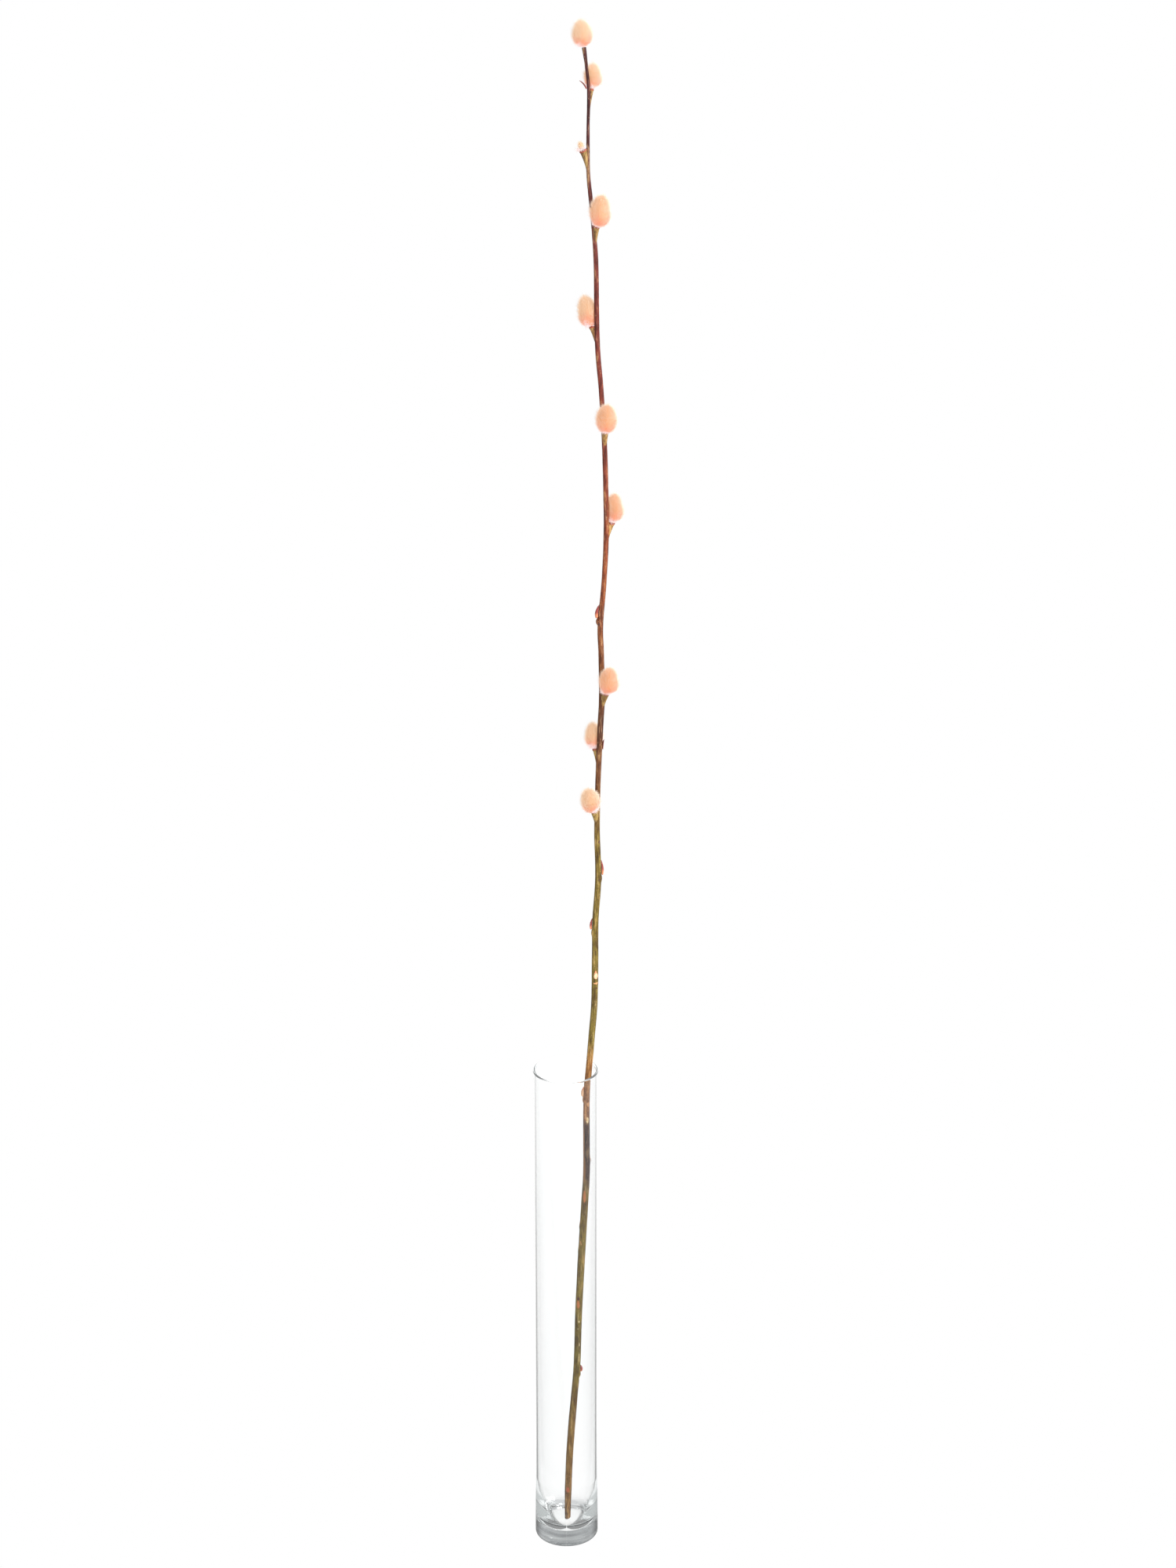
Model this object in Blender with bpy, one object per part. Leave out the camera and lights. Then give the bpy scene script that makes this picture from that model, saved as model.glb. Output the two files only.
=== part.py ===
"""One pussy willow stem that leans in a tall, clear glass cylinder vase.

Metres, +Z up. The origin is the centre of the vase's flat underside. The stem leans towards +X,
and -Y is the front.
"""

import math
import random

import bpy
from mathutils import Euler, Vector

MM = 0.001

# Vase
VASE_HEIGHT = 410 * MM
VASE_RADIUS = 25 * MM
VASE_WALL = 2.0 * MM
VASE_FLOOR = 8.2 * MM
VASE_HEEL = 2 * MM
VASE_SIDES = 40

# Inside of the vase's foot, in millimetres: how far from the wall, and height above the floor
BOWL_LINE = [
    (0.0, 43.8),
    (0.5, 33.8),
    (1.6, 24.8),
    (3.4, 15.8),
    (5.6, 8.8),
    (8.2, 4.0),
    (12.0, 1.0),
    (17.0, 0.0),
]

# Touching solids keep this gap
GAP = 0.3 * MM

# Stem: height, x, y and diameter in millimetres at each bend
STEM_BENDS = [
    (9.3, 0.9, -2.8, 5.1),
    (40, 1.3, -2.4, 5.4),
    (70, 2.4, -2.0, 5.6),
    (97, 4.1, -1.5, 5.6),
    (125, 6.3, -0.8, 5.4),
    (153, 8.5, 0.0, 5.4),
    (195, 9.7, 1.2, 5.6),
    (250, 12.3, 3.2, 5.8),
    (290, 14.6, 4.6, 5.7),
    (318, 16.2, 5.5, 5.5),
    (345, 16.3, 6.4, 5.4),
    (375, 16.3, 7.4, 5.3),
    (395, 17.0, 8.4, 5.1),
    (408, 18.0, 9.0, 4.9),
    (434, 20.1, 9.9, 5.0),
    (462, 22.1, 10.8, 5.0),
    (500, 22.6, 11.9, 5.0),
    (528, 22.8, 12.8, 4.8),
    (562, 24.9, 13.8, 4.7),
    (600, 24.0, 15.0, 4.4),
    (637, 24.6, 15.9, 4.1),
    (680, 26.3, 17.0, 4.4),
    (705, 27.5, 17.6, 4.5),
    (740, 26.9, 18.5, 4.2),
    (760, 26.3, 19.0, 4.2),
    (795, 29.0, 19.9, 3.8),
    (830, 30.5, 20.5, 4.0),
    (860, 30.2, 20.9, 3.8),
    (900, 29.0, 21.5, 3.8),
    (936, 26.7, 22.0, 3.6),
    (970, 24.0, 22.6, 3.7),
    (1030, 22.8, 23.3, 3.5),
    (1050, 21.5, 23.5, 3.2),
    (1071, 19.5, 23.7, 3.0),
    (1093, 17.4, 23.9, 2.8),
    (1126, 17.3, 24.2, 2.3),
    (1150, 17.7, 24.4, 2.4),
    (1168, 16.0, 24.7, 2.3),
    (1180, 14.4, 24.8, 3.1),
]
STEM_SIDES = 10
STEM_RING_SPACING = 18 * MM
STEM_CUT_SLOPE = math.radians(16)

# Pegs, the short shoulders that the catkins sit on, with their width at each share of their length
PEG_LENGTH = 16 * MM
PEG_LEAST_RADIUS = 1.0 * MM
PEG_RADIUS_SHARE = 0.8
PEG_STANDS_OFF = 0.85
PEG_LIP = 1.12
PEG_SIDES = 8
PEG_LEAVES_AT = 1.7
PEG_STEPS = [(0.0, 0.4), (0.35, 0.6), (0.65, 0.78), (0.85, 0.92), (0.94, PEG_LIP)]

# Catkins: name, height of the peg's top in millimetres, compass angle round the stem in degrees
# (0 is +X, 90 is +Y), outward lean in degrees, length and width over the silk in millimetres
CATKINS = [
    ("catkin_02", 1151, 58, 12, 18.5, 13.6),
    ("catkin_03", 1056, -45, 14, 24.0, 16.2),
    ("catkin_04", 983, 145, 20, 23.5, 15.6),
    ("catkin_05", 908, -75, 15, 22.0, 16.2),
    ("catkin_06", 838, 32, 9, 22.5, 14.4),
    ("catkin_07", 710, -48, 13, 21.5, 15.6),
    ("catkin_08", 664, 122, 17, 20.5, 14.6),
    ("catkin_09", 618, -130, 22, 20.5, 15.4),
]
TIP_CATKIN = ("catkin_01", 1180, 180, 8, 19.5, 15.2)
TIP_CATKIN_GAP = 0.6 * MM
CATKIN_SEAT_RADIUS = 2.1 * MM
CATKIN_SIDES = 10
CATKIN_RINGS = 8
CATKIN_CLEAR_OF_STEM = 0.9 * MM
SILK_CLEAR_OF_STEM = 0.4 * MM
SILK_DEPTH = 1.8 * MM
CATKIN_WIDEST_LOW = 0.82
CATKIN_FULLNESS = 0.52
CATKIN_TOP = 0.985
TUFTS_PER_CATKIN = 62
LOWEST_TUFT = 0.1
TUFT_SPREAD = 0.87
TUFT_TURN_DRAW = 0.12
TUFT_LENGTH = 2.9 * MM
TUFT_ROOT_RADIUS = 1.2 * MM
TUFT_SUNK = 1.5 * MM
SHORTEST_TUFT = 0.3 * MM
TUFT_RISE = 1.1
GOLDEN_ANGLE = math.pi * (3 - math.sqrt(5))

# The stub below the tip: a peg whose catkin has dropped, with a wisp of silk left on it
STUB_HEIGHT = 1109 * MM
STUB_ANGLE = math.radians(-172)
STUB_SILK = ("silk_wisp", 7.5, 5.2)
STUB_LEAN = math.radians(24)
STUB_RADIUS = 2.6 * MM
STUB_TUFTS = 16

# Closed winter buds: name, height of the foot in millimetres, compass angle in degrees, length,
# width and the rise of the bark's ledge under the foot in millimetres
BUDS = [
    ("bud_01", 766.5, 183, 10.0, 4.2, 1.5),
    ("bud_02", 565, 5, 12.0, 3.0, 0.6),
    ("bud_03", 521, 176, 9.0, 3.0, 0.6),
    ("bud_04", 482, -80, 6.5, 3.2, 0.6),
    ("bud_05", 384, 190, 8.0, 3.4, 0.8),
    ("bud_06", 147, 0, 5.5, 3.2, 0.8),
]
BUD_SIDES = 8
BUD_DEPTH_SHARE = 0.65
BUD_STEPS = (0.0, 0.12, 0.3, 0.5, 0.7, 0.88, 1.0)
BUD_FOOT = 0.12
BUD_LEAST_GIRTH = 0.15

# Open bud scales: name, height of the foot in millimetres, compass angle in degrees, outward lean
# in degrees, length and width in millimetres
SCALES = [
    ("scale_01", 1151.5, 187, 38, 7.5, 3.2),
    ("scale_02", 664.5, 18, 6, 8.0, 3.0),
]
SCALE_THICKNESS = 0.7 * MM
SCALE_RINGS = 7
SCALE_CUP = 0.5
SCALE_FOOT = 0.25
SCALE_LEAST_WIDTH = 0.22
SCALE_FOOT_CLEAR = 0.55 * MM

# Low leaf scars on the bark: height in millimetres and compass angle in degrees
SCARS = [(38, -92), (210, -100), (253, 130), (274, 195), (295, -112), (329, -15), (365, -75)]
SCAR_RISE = 0.35 * MM
SWELLING_LENGTH = 6 * MM
LEDGE_BELOW_FOOT = 2.6 * MM

BARK = (0.30, 0.17, 0.09)
GLASS = (0.93, 0.96, 0.97)
SILK = (0.95, 0.80, 0.68)
SCALE_BROWN = (0.42, 0.14, 0.09)
RANDOM_SEED = 27


def clear_scene():
    for old in list(bpy.data.objects):
        bpy.data.objects.remove(old, do_unlink=True)


def material(name, colour, roughness, transmission=0.0):
    finish = bpy.data.materials.new(name)
    finish.use_nodes = True
    shader = finish.node_tree.nodes["Principled BSDF"]
    shader.inputs["Base Color"].default_value = (*colour, 1.0)
    shader.inputs["Roughness"].default_value = roughness
    shader.inputs["Metallic"].default_value = 0.0
    shader.inputs["Transmission Weight"].default_value = transmission
    finish.diffuse_color = (*colour, 1.0)
    return finish


def solid(name, points, faces, finish=None, sharp_angle=math.radians(40)):
    """Adds a mesh object from points and faces, shaded smooth across shallow edges."""
    mesh = bpy.data.meshes.new(name)
    mesh.from_pydata(points, [], faces)
    mesh.shade_smooth()
    mesh.set_sharp_from_angle(angle=sharp_angle)
    if finish:
        mesh.materials.append(finish)
    body = bpy.data.objects.new(name, mesh)
    bpy.context.scene.collection.objects.link(body)
    return body


def loft(name, rings, finish=None):
    """Closes a solid through rings of points, listed from the foot up, each ring anticlockwise
    when seen from the far end."""
    sides = len(rings[0])
    points = [point for ring in rings for point in ring]
    faces = [list(reversed(range(sides)))]
    for row in range(len(rings) - 1):
        low = row * sides
        high = low + sides
        for side in range(sides):
            after = (side + 1) % sides
            faces.append((low + side, low + after, high + after, high + side))
    faces.append(list(range(len(points) - sides, len(points))))
    return solid(name, points, faces, finish)


def oval(centre, across, along, sides):
    """Points of an ellipse round a centre, from its two half-axis vectors."""
    turns = (math.tau * side / sides for side in range(sides))
    return [centre + across * math.cos(turn) + along * math.sin(turn) for turn in turns]


def fuse(body, extras):
    """Unions solids with a body and removes them."""
    group = bpy.data.collections.new(body.name + "_extras")
    bpy.context.scene.collection.children.link(group)
    for extra in extras:
        bpy.context.scene.collection.objects.unlink(extra)
        group.objects.link(extra)
    union = body.modifiers.new("Union", "BOOLEAN")
    union.operation = "UNION"
    union.operand_type = "COLLECTION"
    union.collection = group
    union.solver = "EXACT"
    bpy.context.view_layer.objects.active = body
    bpy.ops.object.modifier_apply(modifier=union.name)
    for extra in extras:
        bpy.data.objects.remove(extra, do_unlink=True)
    bpy.data.collections.remove(group)


def arc(centre_radius, centre_height, size, start, end, steps):
    """Outline points of a round stretch, from one angle in degrees to another."""
    angles = (math.radians(start + (end - start) * step / steps) for step in range(steps + 1))
    return [
        (centre_radius + size * math.cos(angle), centre_height + size * math.sin(angle))
        for angle in angles
    ]


def make_vase(finish):
    """A straight tumbler of thick glass with a heavy floor, a bowl-shaped inside and a round rim."""
    heel_centre = VASE_RADIUS - VASE_HEEL
    rim = VASE_WALL / 2
    inside = VASE_RADIUS - VASE_WALL
    outline = [
        *arc(heel_centre, VASE_HEEL, VASE_HEEL, -90, 0, 3),
        *arc(VASE_RADIUS - rim, VASE_HEIGHT - rim, rim, 0, 180, 6),
        *((inside - inward * MM, VASE_FLOOR + rise * MM) for inward, rise in BOWL_LINE),
    ]
    across = Vector((1, 0, 0))
    along = Vector((0, 1, 0))
    rings = [
        oval(Vector((0, 0, height)), across * radius, along * radius, VASE_SIDES)
        for radius, height in outline
    ]
    return loft("vase", rings, finish)


def stem_value(height, column):
    """Reads one column of the bends at a height, on a smooth curve through them."""
    rows = [(bend[0] * MM, bend[column] * MM) for bend in STEM_BENDS]
    height = min(max(height, rows[0][0]), rows[-1][0])
    index = next(i for i in range(len(rows) - 1) if height <= rows[i + 1][0])

    def slope(at):
        before = rows[max(at - 1, 0)]
        after = rows[min(at + 1, len(rows) - 1)]
        return (after[1] - before[1]) / (after[0] - before[0])

    (low, start), (high, end) = rows[index], rows[index + 1]
    span = high - low
    t = (height - low) / span
    return (
        (2 * t**3 - 3 * t**2 + 1) * start
        + (t**3 - 2 * t**2 + t) * span * slope(index)
        + (3 * t**2 - 2 * t**3) * end
        + (t**3 - t**2) * span * slope(index + 1)
    )


def stem_centre(height):
    return Vector((stem_value(height, 1), stem_value(height, 2), height))


def stem_radius(height):
    return stem_value(height, 3) / 2


def outward(angle):
    return Vector((math.cos(angle), math.sin(angle), 0))


def swellings():
    """Height, compass angle and rise of every ledge under a bud and every leaf scar."""
    ledges = [
        (height * MM - LEDGE_BELOW_FOOT, math.radians(turn), rise * MM)
        for _, height, turn, _, _, rise in BUDS
    ]
    scars = [(height * MM, math.radians(turn), SCAR_RISE) for height, turn in SCARS]
    return ledges + scars


def bark_radius(height, angle):
    """The stem's radius towards a compass angle, with its ledges and scars."""
    radius = stem_radius(height)
    for centre, towards, rise in swellings():
        along = (height - centre) / (SWELLING_LENGTH / 2)
        facing = math.cos(angle - towards)
        if abs(along) < 1 and facing > 0:
            radius += rise * (1 - along**2) * facing**2
    return radius


def stem_heights():
    """Ring heights: evenly spaced, with closer rings at each ledge and scar."""
    foot = STEM_BENDS[0][0] * MM
    top = STEM_BENDS[-1][0] * MM
    steps = round((top - foot) / STEM_RING_SPACING)
    heights = [foot + (top - foot) * step / steps for step in range(steps + 1)]
    for centre, _, _ in swellings():
        close = [centre + SWELLING_LENGTH * share for share in (-0.5, 0.0, 0.5)]
        near = SWELLING_LENGTH * 0.8
        heights = [h for h in heights if abs(h - centre) > near or h in (foot, top)] + close
    return sorted(heights)


def stem_ring(height, foot):
    """One ring of bark. The lowest is the slanted cut across the foot."""
    ring = []
    for side in range(STEM_SIDES):
        angle = math.tau * side / STEM_SIDES
        radius = bark_radius(height, angle)
        point = stem_centre(height) + outward(angle) * radius
        if height == foot:
            point.z += (radius + radius * math.cos(angle)) * math.tan(STEM_CUT_SLOPE)
        ring.append(point)
    return ring


def peg_radius(height):
    """A peg's size at its top, larger where the stem is thicker."""
    return PEG_LEAST_RADIUS + stem_radius(height) * PEG_RADIUS_SHARE


def seat(height, angle, lean, radius):
    """Middle of a peg's top, and the direction that what sits on it grows in."""
    grows = outward(angle) * math.sin(lean) + Vector((0, 0, math.cos(lean)))
    reach = stem_radius(height) + radius * PEG_STANDS_OFF
    return stem_centre(height) + outward(angle) * reach, grows


def make_peg(height, angle, lean, radius):
    """A shoulder that leaves the stem low down and widens to a lipped, outward-tilted top."""
    top, grows = seat(height, angle, lean, radius)
    sideways = Vector((0, 0, 1)).cross(outward(angle))
    rings = []
    for share, width in PEG_STEPS:
        level = height - PEG_LENGTH * (1 - share)
        reach = (stem_radius(level) + radius * PEG_STANDS_OFF) * share**PEG_LEAVES_AT
        centre = stem_centre(level) + outward(angle) * reach
        tilt = lean * share
        across = outward(angle) * math.cos(tilt) - Vector((0, 0, math.sin(tilt)))
        rings.append(oval(centre, across * radius * width, sideways * radius * width, PEG_SIDES))
    across = sideways.cross(grows)
    rings.append(oval(top, across * radius, sideways * radius, PEG_SIDES))
    return loft("peg", rings)


def make_stem(finish):
    """The whole twig, from the cut foot to the tip, with its ledges, scars and pegs."""
    heights = stem_heights()
    stem = loft("stem", [stem_ring(height, heights[0]) for height in heights], finish)
    pegs = [
        make_peg(height * MM, math.radians(turn), math.radians(lean), peg_radius(height * MM))
        for _, height, turn, lean, *_ in CATKINS
    ]
    pegs.append(make_peg(STUB_HEIGHT, STUB_ANGLE, STUB_LEAN, STUB_RADIUS))
    fuse(stem, pegs)
    return stem


def make_tuft(root, tip, turn):
    """A three-sided lock of silk, wide at its sunken root and pointed at its tip."""
    grows = (tip - root).normalized()
    across = grows.orthogonal().normalized()
    across.rotate(Euler((0, 0, turn)))
    across = (across - grows * across.dot(grows)).normalized()
    along = grows.cross(across)
    base = oval(root, across * TUFT_ROOT_RADIUS, along * TUFT_ROOT_RADIUS, 3)
    return solid("tuft", [*base, tip], [(2, 1, 0), (0, 1, 3), (1, 2, 3), (2, 0, 3)])


def make_catkin(name, length, width, stem_face, tufts, finish, draw):
    """An egg of silk locks on a smaller core. It stands on its seat at the local origin and grows
    along local Z. stem_face gives local X of the stem's near side at a local height, and the core
    and its silk bulge away from it."""
    silk_depth = min(SILK_DEPTH, width / 4)
    core_length = length - silk_depth
    core_radius = width / 2 - silk_depth
    seat_radius = min(CATKIN_SEAT_RADIUS, core_radius * 0.8)

    def girth(t):
        egg = core_radius * math.sin(math.pi * t**CATKIN_WIDEST_LOW) ** CATKIN_FULLNESS
        return max(egg, seat_radius * (1 - t))

    def middle(t):
        level = core_length * t
        bulge = max(0.0, stem_face(level) + CATKIN_CLEAR_OF_STEM + girth(t))
        return Vector((bulge, 0, level))

    def surface(t, turn):
        return middle(t) + outward(turn) * girth(t)

    shares = [(1 - math.cos(math.pi * ring / CATKIN_RINGS)) / 2 for ring in range(CATKIN_RINGS)]
    shares.append(CATKIN_TOP)
    across = Vector((1, 0, 0))
    along = Vector((0, 1, 0))
    rings = [
        oval(middle(t), across * girth(t), along * girth(t), CATKIN_SIDES) for t in shares
    ]
    catkin = loft(name, rings, finish)

    locks = []
    step = 0.01
    for lock in range(tufts):
        t = LOWEST_TUFT + TUFT_SPREAD * (lock + 0.5) / tufts
        turn = lock * GOLDEN_ANGLE + draw.uniform(-TUFT_TURN_DRAW, TUFT_TURN_DRAW)
        start = surface(t, turn)
        up = surface(t + step, turn) - surface(t - step, turn)
        round_way = surface(t, turn + step) - surface(t, turn - step)
        normal = round_way.cross(up).normalized()
        grows = (normal + Vector((0, 0, TUFT_RISE * min(1, t / 0.25)))).normalized()
        reach = silk_depth / SILK_DEPTH * TUFT_LENGTH * draw.uniform(0.9, 1.1)
        limit = stem_face(start.z) + SILK_CLEAR_OF_STEM
        if start.x + grows.x * reach < limit:
            reach = max(SHORTEST_TUFT, (limit - start.x) / grows.x)
        root = start - grows * TUFT_SUNK
        root.z = max(root.z, TUFT_ROOT_RADIUS)
        locks.append(make_tuft(root, start + grows * reach, draw.uniform(0, math.tau)))
    fuse(catkin, locks)
    return catkin


def place(body, base, angle, lean):
    """Stands a body on a seat, turned to its compass angle and leaning outwards."""
    body.location = base
    body.rotation_euler = (0, lean, angle)


def make_seated(name, height, angle, lean, radius, length, width, tufts, finish, draw):
    """Stands a catkin on the peg at a height, clear of the stem beside it."""
    top, grows = seat(height, angle, lean, radius)
    base = top + grows * GAP

    def stem_face(level):
        point = base + grows * level
        beside = (point - stem_centre(point.z)).dot(outward(angle))
        return (stem_radius(point.z) - beside) / math.cos(lean)

    place(make_catkin(name, length, width, stem_face, tufts, finish, draw), base, angle, lean)


def make_catkins(finish, draw):
    for name, height, turn, lean, length, width in CATKINS:
        angle = math.radians(turn)
        tilt = math.radians(lean)
        size = (peg_radius(height * MM), length * MM, width * MM)
        make_seated(name, height * MM, angle, tilt, *size, TUFTS_PER_CATKIN, finish, draw)
    name, length, width = STUB_SILK
    size = (STUB_RADIUS, length * MM, width * MM)
    make_seated(name, STUB_HEIGHT, STUB_ANGLE, STUB_LEAN, *size, STUB_TUFTS, finish, draw)

    name, height, turn, lean, length, width = TIP_CATKIN
    base = stem_centre(height * MM) + Vector((0, 0, TIP_CATKIN_GAP))

    def nothing_beside(level):
        return -length * MM

    size = (length * MM, width * MM)
    catkin = make_catkin(name, *size, nothing_beside, TUFTS_PER_CATKIN, finish, draw)
    place(catkin, base, math.radians(turn), math.radians(lean))


def make_bud(name, height, angle, length, width, finish):
    """A closed bud that lies flat along the bark, pointed at its tip."""
    sideways = Vector((0, 0, 1)).cross(outward(angle))
    depth = width * BUD_DEPTH_SHARE
    rings = []
    for share in BUD_STEPS:
        egg = math.sin(math.pi * (BUD_FOOT + (1 - BUD_FOOT) * share) ** 0.8) ** 0.9
        size = max(BUD_LEAST_GIRTH, BUD_FOOT + (1 - BUD_FOOT) * egg)
        level = height + length * share
        flat_back = bark_radius(level, angle) + GAP + depth * size / 2
        centre = stem_centre(level) + outward(angle) * flat_back
        rings.append(
            oval(centre, outward(angle) * depth * size / 2, sideways * width * size / 2, BUD_SIDES)
        )
    return loft(name, rings, finish)


def make_scale(name, height, angle, lean, length, width, finish):
    """A pointed, boat-shaped bud scale that stands open, its hollow side towards the stem."""
    sideways = Vector((0, 0, 1)).cross(outward(angle))
    foot = stem_centre(height)
    clear = SCALE_FOOT_CLEAR + SCALE_THICKNESS + width * SCALE_CUP / 6
    foot += outward(angle) * (bark_radius(height, angle) + clear)
    rings = []
    for step in range(SCALE_RINGS):
        share = step / (SCALE_RINGS - 1)
        tilt = lean * (0.6 + 0.4 * share)
        grows = outward(angle) * math.sin(tilt) + Vector((0, 0, math.cos(tilt)))
        across = sideways.cross(grows)
        middle = foot + grows * length * share
        leaf = math.sin(math.pi * (SCALE_FOOT + (1 - SCALE_FOOT) * share)) ** 0.8
        half = width / 2 * max(SCALE_LEAST_WIDTH, leaf)
        cup = half * SCALE_CUP
        outer = [(-1.0, -cup), (-0.5, -cup * 0.25), (0.0, 0.0), (0.5, -cup * 0.25), (1.0, -cup)]
        back = [middle + sideways * half * s + across * c for s, c in outer]
        front = [
            middle + sideways * half * s * 0.8 + across * (c - SCALE_THICKNESS)
            for s, c in reversed(outer)
        ]
        rings.append(back + front)
    return loft(name, rings, finish)


def main():
    clear_scene()
    draw = random.Random(RANDOM_SEED)
    bark = material("bark", BARK, 0.55)
    glass = material("clear_glass", GLASS, 0.02, transmission=1.0)
    silk = material("catkin_silk", SILK, 0.9)
    brown = material("bud_scale", SCALE_BROWN, 0.35)
    make_vase(glass)
    make_stem(bark)
    make_catkins(silk, draw)
    for name, height, turn, length, width, _ in BUDS:
        make_bud(name, height * MM, math.radians(turn), length * MM, width * MM, brown)
    for name, height, turn, lean, length, width in SCALES:
        make_scale(
            name, height * MM, math.radians(turn), math.radians(lean), length * MM, width * MM, brown
        )


main()
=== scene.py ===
"""Looks for one pussy willow stem in a clear glass cylinder vase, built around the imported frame.

Metres, +Z up. The origin is the centre of the vase's underside and -Y is the front.
"""

import math

import bmesh
import bpy
import numpy as np
from mathutils import Euler, Matrix, Vector, noise


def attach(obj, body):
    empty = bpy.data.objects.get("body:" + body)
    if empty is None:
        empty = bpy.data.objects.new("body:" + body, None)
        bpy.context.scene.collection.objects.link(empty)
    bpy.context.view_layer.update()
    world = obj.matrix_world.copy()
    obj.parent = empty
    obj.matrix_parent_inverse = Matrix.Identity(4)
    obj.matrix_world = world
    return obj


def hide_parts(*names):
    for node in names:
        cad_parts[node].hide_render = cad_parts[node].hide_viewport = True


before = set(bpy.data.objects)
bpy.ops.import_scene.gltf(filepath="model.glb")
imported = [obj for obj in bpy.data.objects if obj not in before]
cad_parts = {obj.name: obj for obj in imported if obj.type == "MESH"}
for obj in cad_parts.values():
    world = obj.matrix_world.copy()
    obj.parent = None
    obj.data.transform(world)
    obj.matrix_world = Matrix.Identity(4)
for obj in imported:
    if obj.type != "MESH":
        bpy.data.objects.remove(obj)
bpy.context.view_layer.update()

bl_info = {
    "name": "Willow stem in a vase",
    "version": (1, 0, 0),
    "blender": (4, 5, 0),
    "location": "3D View > Sidebar > Willow",
    "description": "Glass vase, bark, silky catkins and buds for a pussy willow stem",
    "category": "Object",
}

MM = 0.001

# Glass: how it bends and swallows light, where its painted grey foot and its waves fade out, and
# how the painted glow inside its wall, which stands in for piped light, changes with height and
# towards the sides
GLASS_IOR = 1.47
GLASS_DENSITY = 18.0
PAINTED_FOOT_TOP = (15.0 * MM, 13.8 * MM)
PAINTED_HEEL_TOP = (3.4 * MM, 1.6 * MM)
WAVES_TOP = (16.5 * MM, 12.0 * MM)
WAVES_FOOT = (0.4 * MM, 2.0 * MM)
OUTER_FACE = (22.5 * MM, 24.0 * MM)
RIM_SIDES_FROM = (13 * MM, 24 * MM)
PAINTED_GLOW_FROM = (0.1, 0.3)
PAINTED_GLOW_IN_FOOT = 0.6
CLEAR = (1.0, 1.0, 1.0)
DARK = (0.0, 0.0, 0.0)

# Inside of the vase's foot, in millimetres: how far from the wall, and height above the floor
BOWL_LINE = [
    (0.0, 43.8),
    (0.5, 33.8),
    (1.6, 24.8),
    (3.4, 15.8),
    (5.6, 8.8),
    (8.2, 4.0),
    (12.0, 1.0),
    (17.0, 0.0),
]

# Stem: height, x, y and diameter in millimetres at each bend
STEM_BENDS = [
    (9.3, 0.9, -2.8, 5.1),
    (40, 1.3, -2.4, 5.4),
    (70, 2.4, -2.0, 5.6),
    (97, 4.1, -1.5, 5.6),
    (125, 6.3, -0.8, 5.4),
    (153, 8.5, 0.0, 5.4),
    (195, 9.7, 1.2, 5.6),
    (250, 12.3, 3.2, 5.8),
    (290, 14.6, 4.6, 5.7),
    (318, 16.2, 5.5, 5.5),
    (345, 16.3, 6.4, 5.4),
    (375, 16.3, 7.4, 5.3),
    (395, 17.0, 8.4, 5.1),
    (408, 18.0, 9.0, 4.9),
    (434, 20.1, 9.9, 5.0),
    (462, 22.1, 10.8, 5.0),
    (500, 22.6, 11.9, 5.0),
    (528, 22.8, 12.8, 4.8),
    (562, 24.9, 13.8, 4.7),
    (600, 24.0, 15.0, 4.4),
    (637, 24.6, 15.9, 4.1),
    (680, 26.3, 17.0, 4.4),
    (705, 27.5, 17.6, 4.5),
    (740, 26.9, 18.5, 4.2),
    (760, 26.3, 19.0, 4.2),
    (795, 29.0, 19.9, 3.8),
    (830, 30.5, 20.5, 4.0),
    (860, 30.2, 20.9, 3.8),
    (900, 29.0, 21.5, 3.8),
    (936, 26.7, 22.0, 3.6),
    (970, 24.0, 22.6, 3.7),
    (1030, 22.8, 23.3, 3.5),
    (1050, 21.5, 23.5, 3.2),
    (1071, 19.5, 23.7, 3.0),
    (1093, 17.4, 23.9, 2.8),
    (1126, 17.3, 24.2, 2.3),
    (1150, 17.7, 24.4, 2.4),
    (1168, 16.0, 24.7, 2.3),
    (1180, 14.4, 24.8, 3.1),
]
STEM_CUT_SLOPE = math.radians(16)

# Pegs under the catkins: width at each share of their length
PEG_LENGTH = 16 * MM
PEG_LEAST_RADIUS = 1.0 * MM
PEG_RADIUS_SHARE = 0.8
PEG_STANDS_OFF = 0.85
PEG_LEAVES_AT = 1.7
PEG_SIDES = 20
PEG_CUP = [(1.06, 0.0), (0.92, 0.05 * MM), (0.82, -0.12 * MM), (0.6, -0.25 * MM)]
PEG_RIM_DEPTH = 1.3 * MM
RAGGED_PEGS = (3, 7, 8)
PEG_STEPS = [
    (0.0, 0.4), (0.18, 0.5), (0.35, 0.6), (0.5, 0.69), (0.65, 0.78), (0.78, 0.87), (0.87, 0.93),
    (0.92, 1.02), (0.955, 1.12), (0.98, 1.13),
]

# Catkins: name, height of the peg's top in millimetres, compass angle and outward lean in degrees,
# length and width over the silk in millimetres, and how far its silk has ripened to peach
CATKINS = [
    ("catkin_02", 1151, 58, 12, 18.5, 13.6, 0.4),
    ("catkin_03", 1056, -45, 14, 24.0, 16.2, 0.6),
    ("catkin_04", 983, 145, 20, 23.5, 15.6, 0.3),
    ("catkin_05", 908, -75, 15, 22.0, 16.2, 0.9),
    ("catkin_06", 838, 32, 9, 22.5, 14.4, 1.0),
    ("catkin_07", 710, -48, 13, 21.5, 15.6, 1.0),
    ("catkin_08", 664, 122, 17, 20.5, 14.6, 0.2),
    ("catkin_09", 618, -130, 22, 20.5, 15.4, 0.15),
]
TIP_CATKIN = ("catkin_01", 1180, 180, 8, 19.5, 15.2, 0.1)
TIP_CATKIN_GAP = 0.6 * MM
SEAT_GAP = 0.3 * MM
BARK_GAP = 0.03 * MM
CATKIN_USUAL_SIZE = (15 * MM, 21 * MM)
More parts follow.
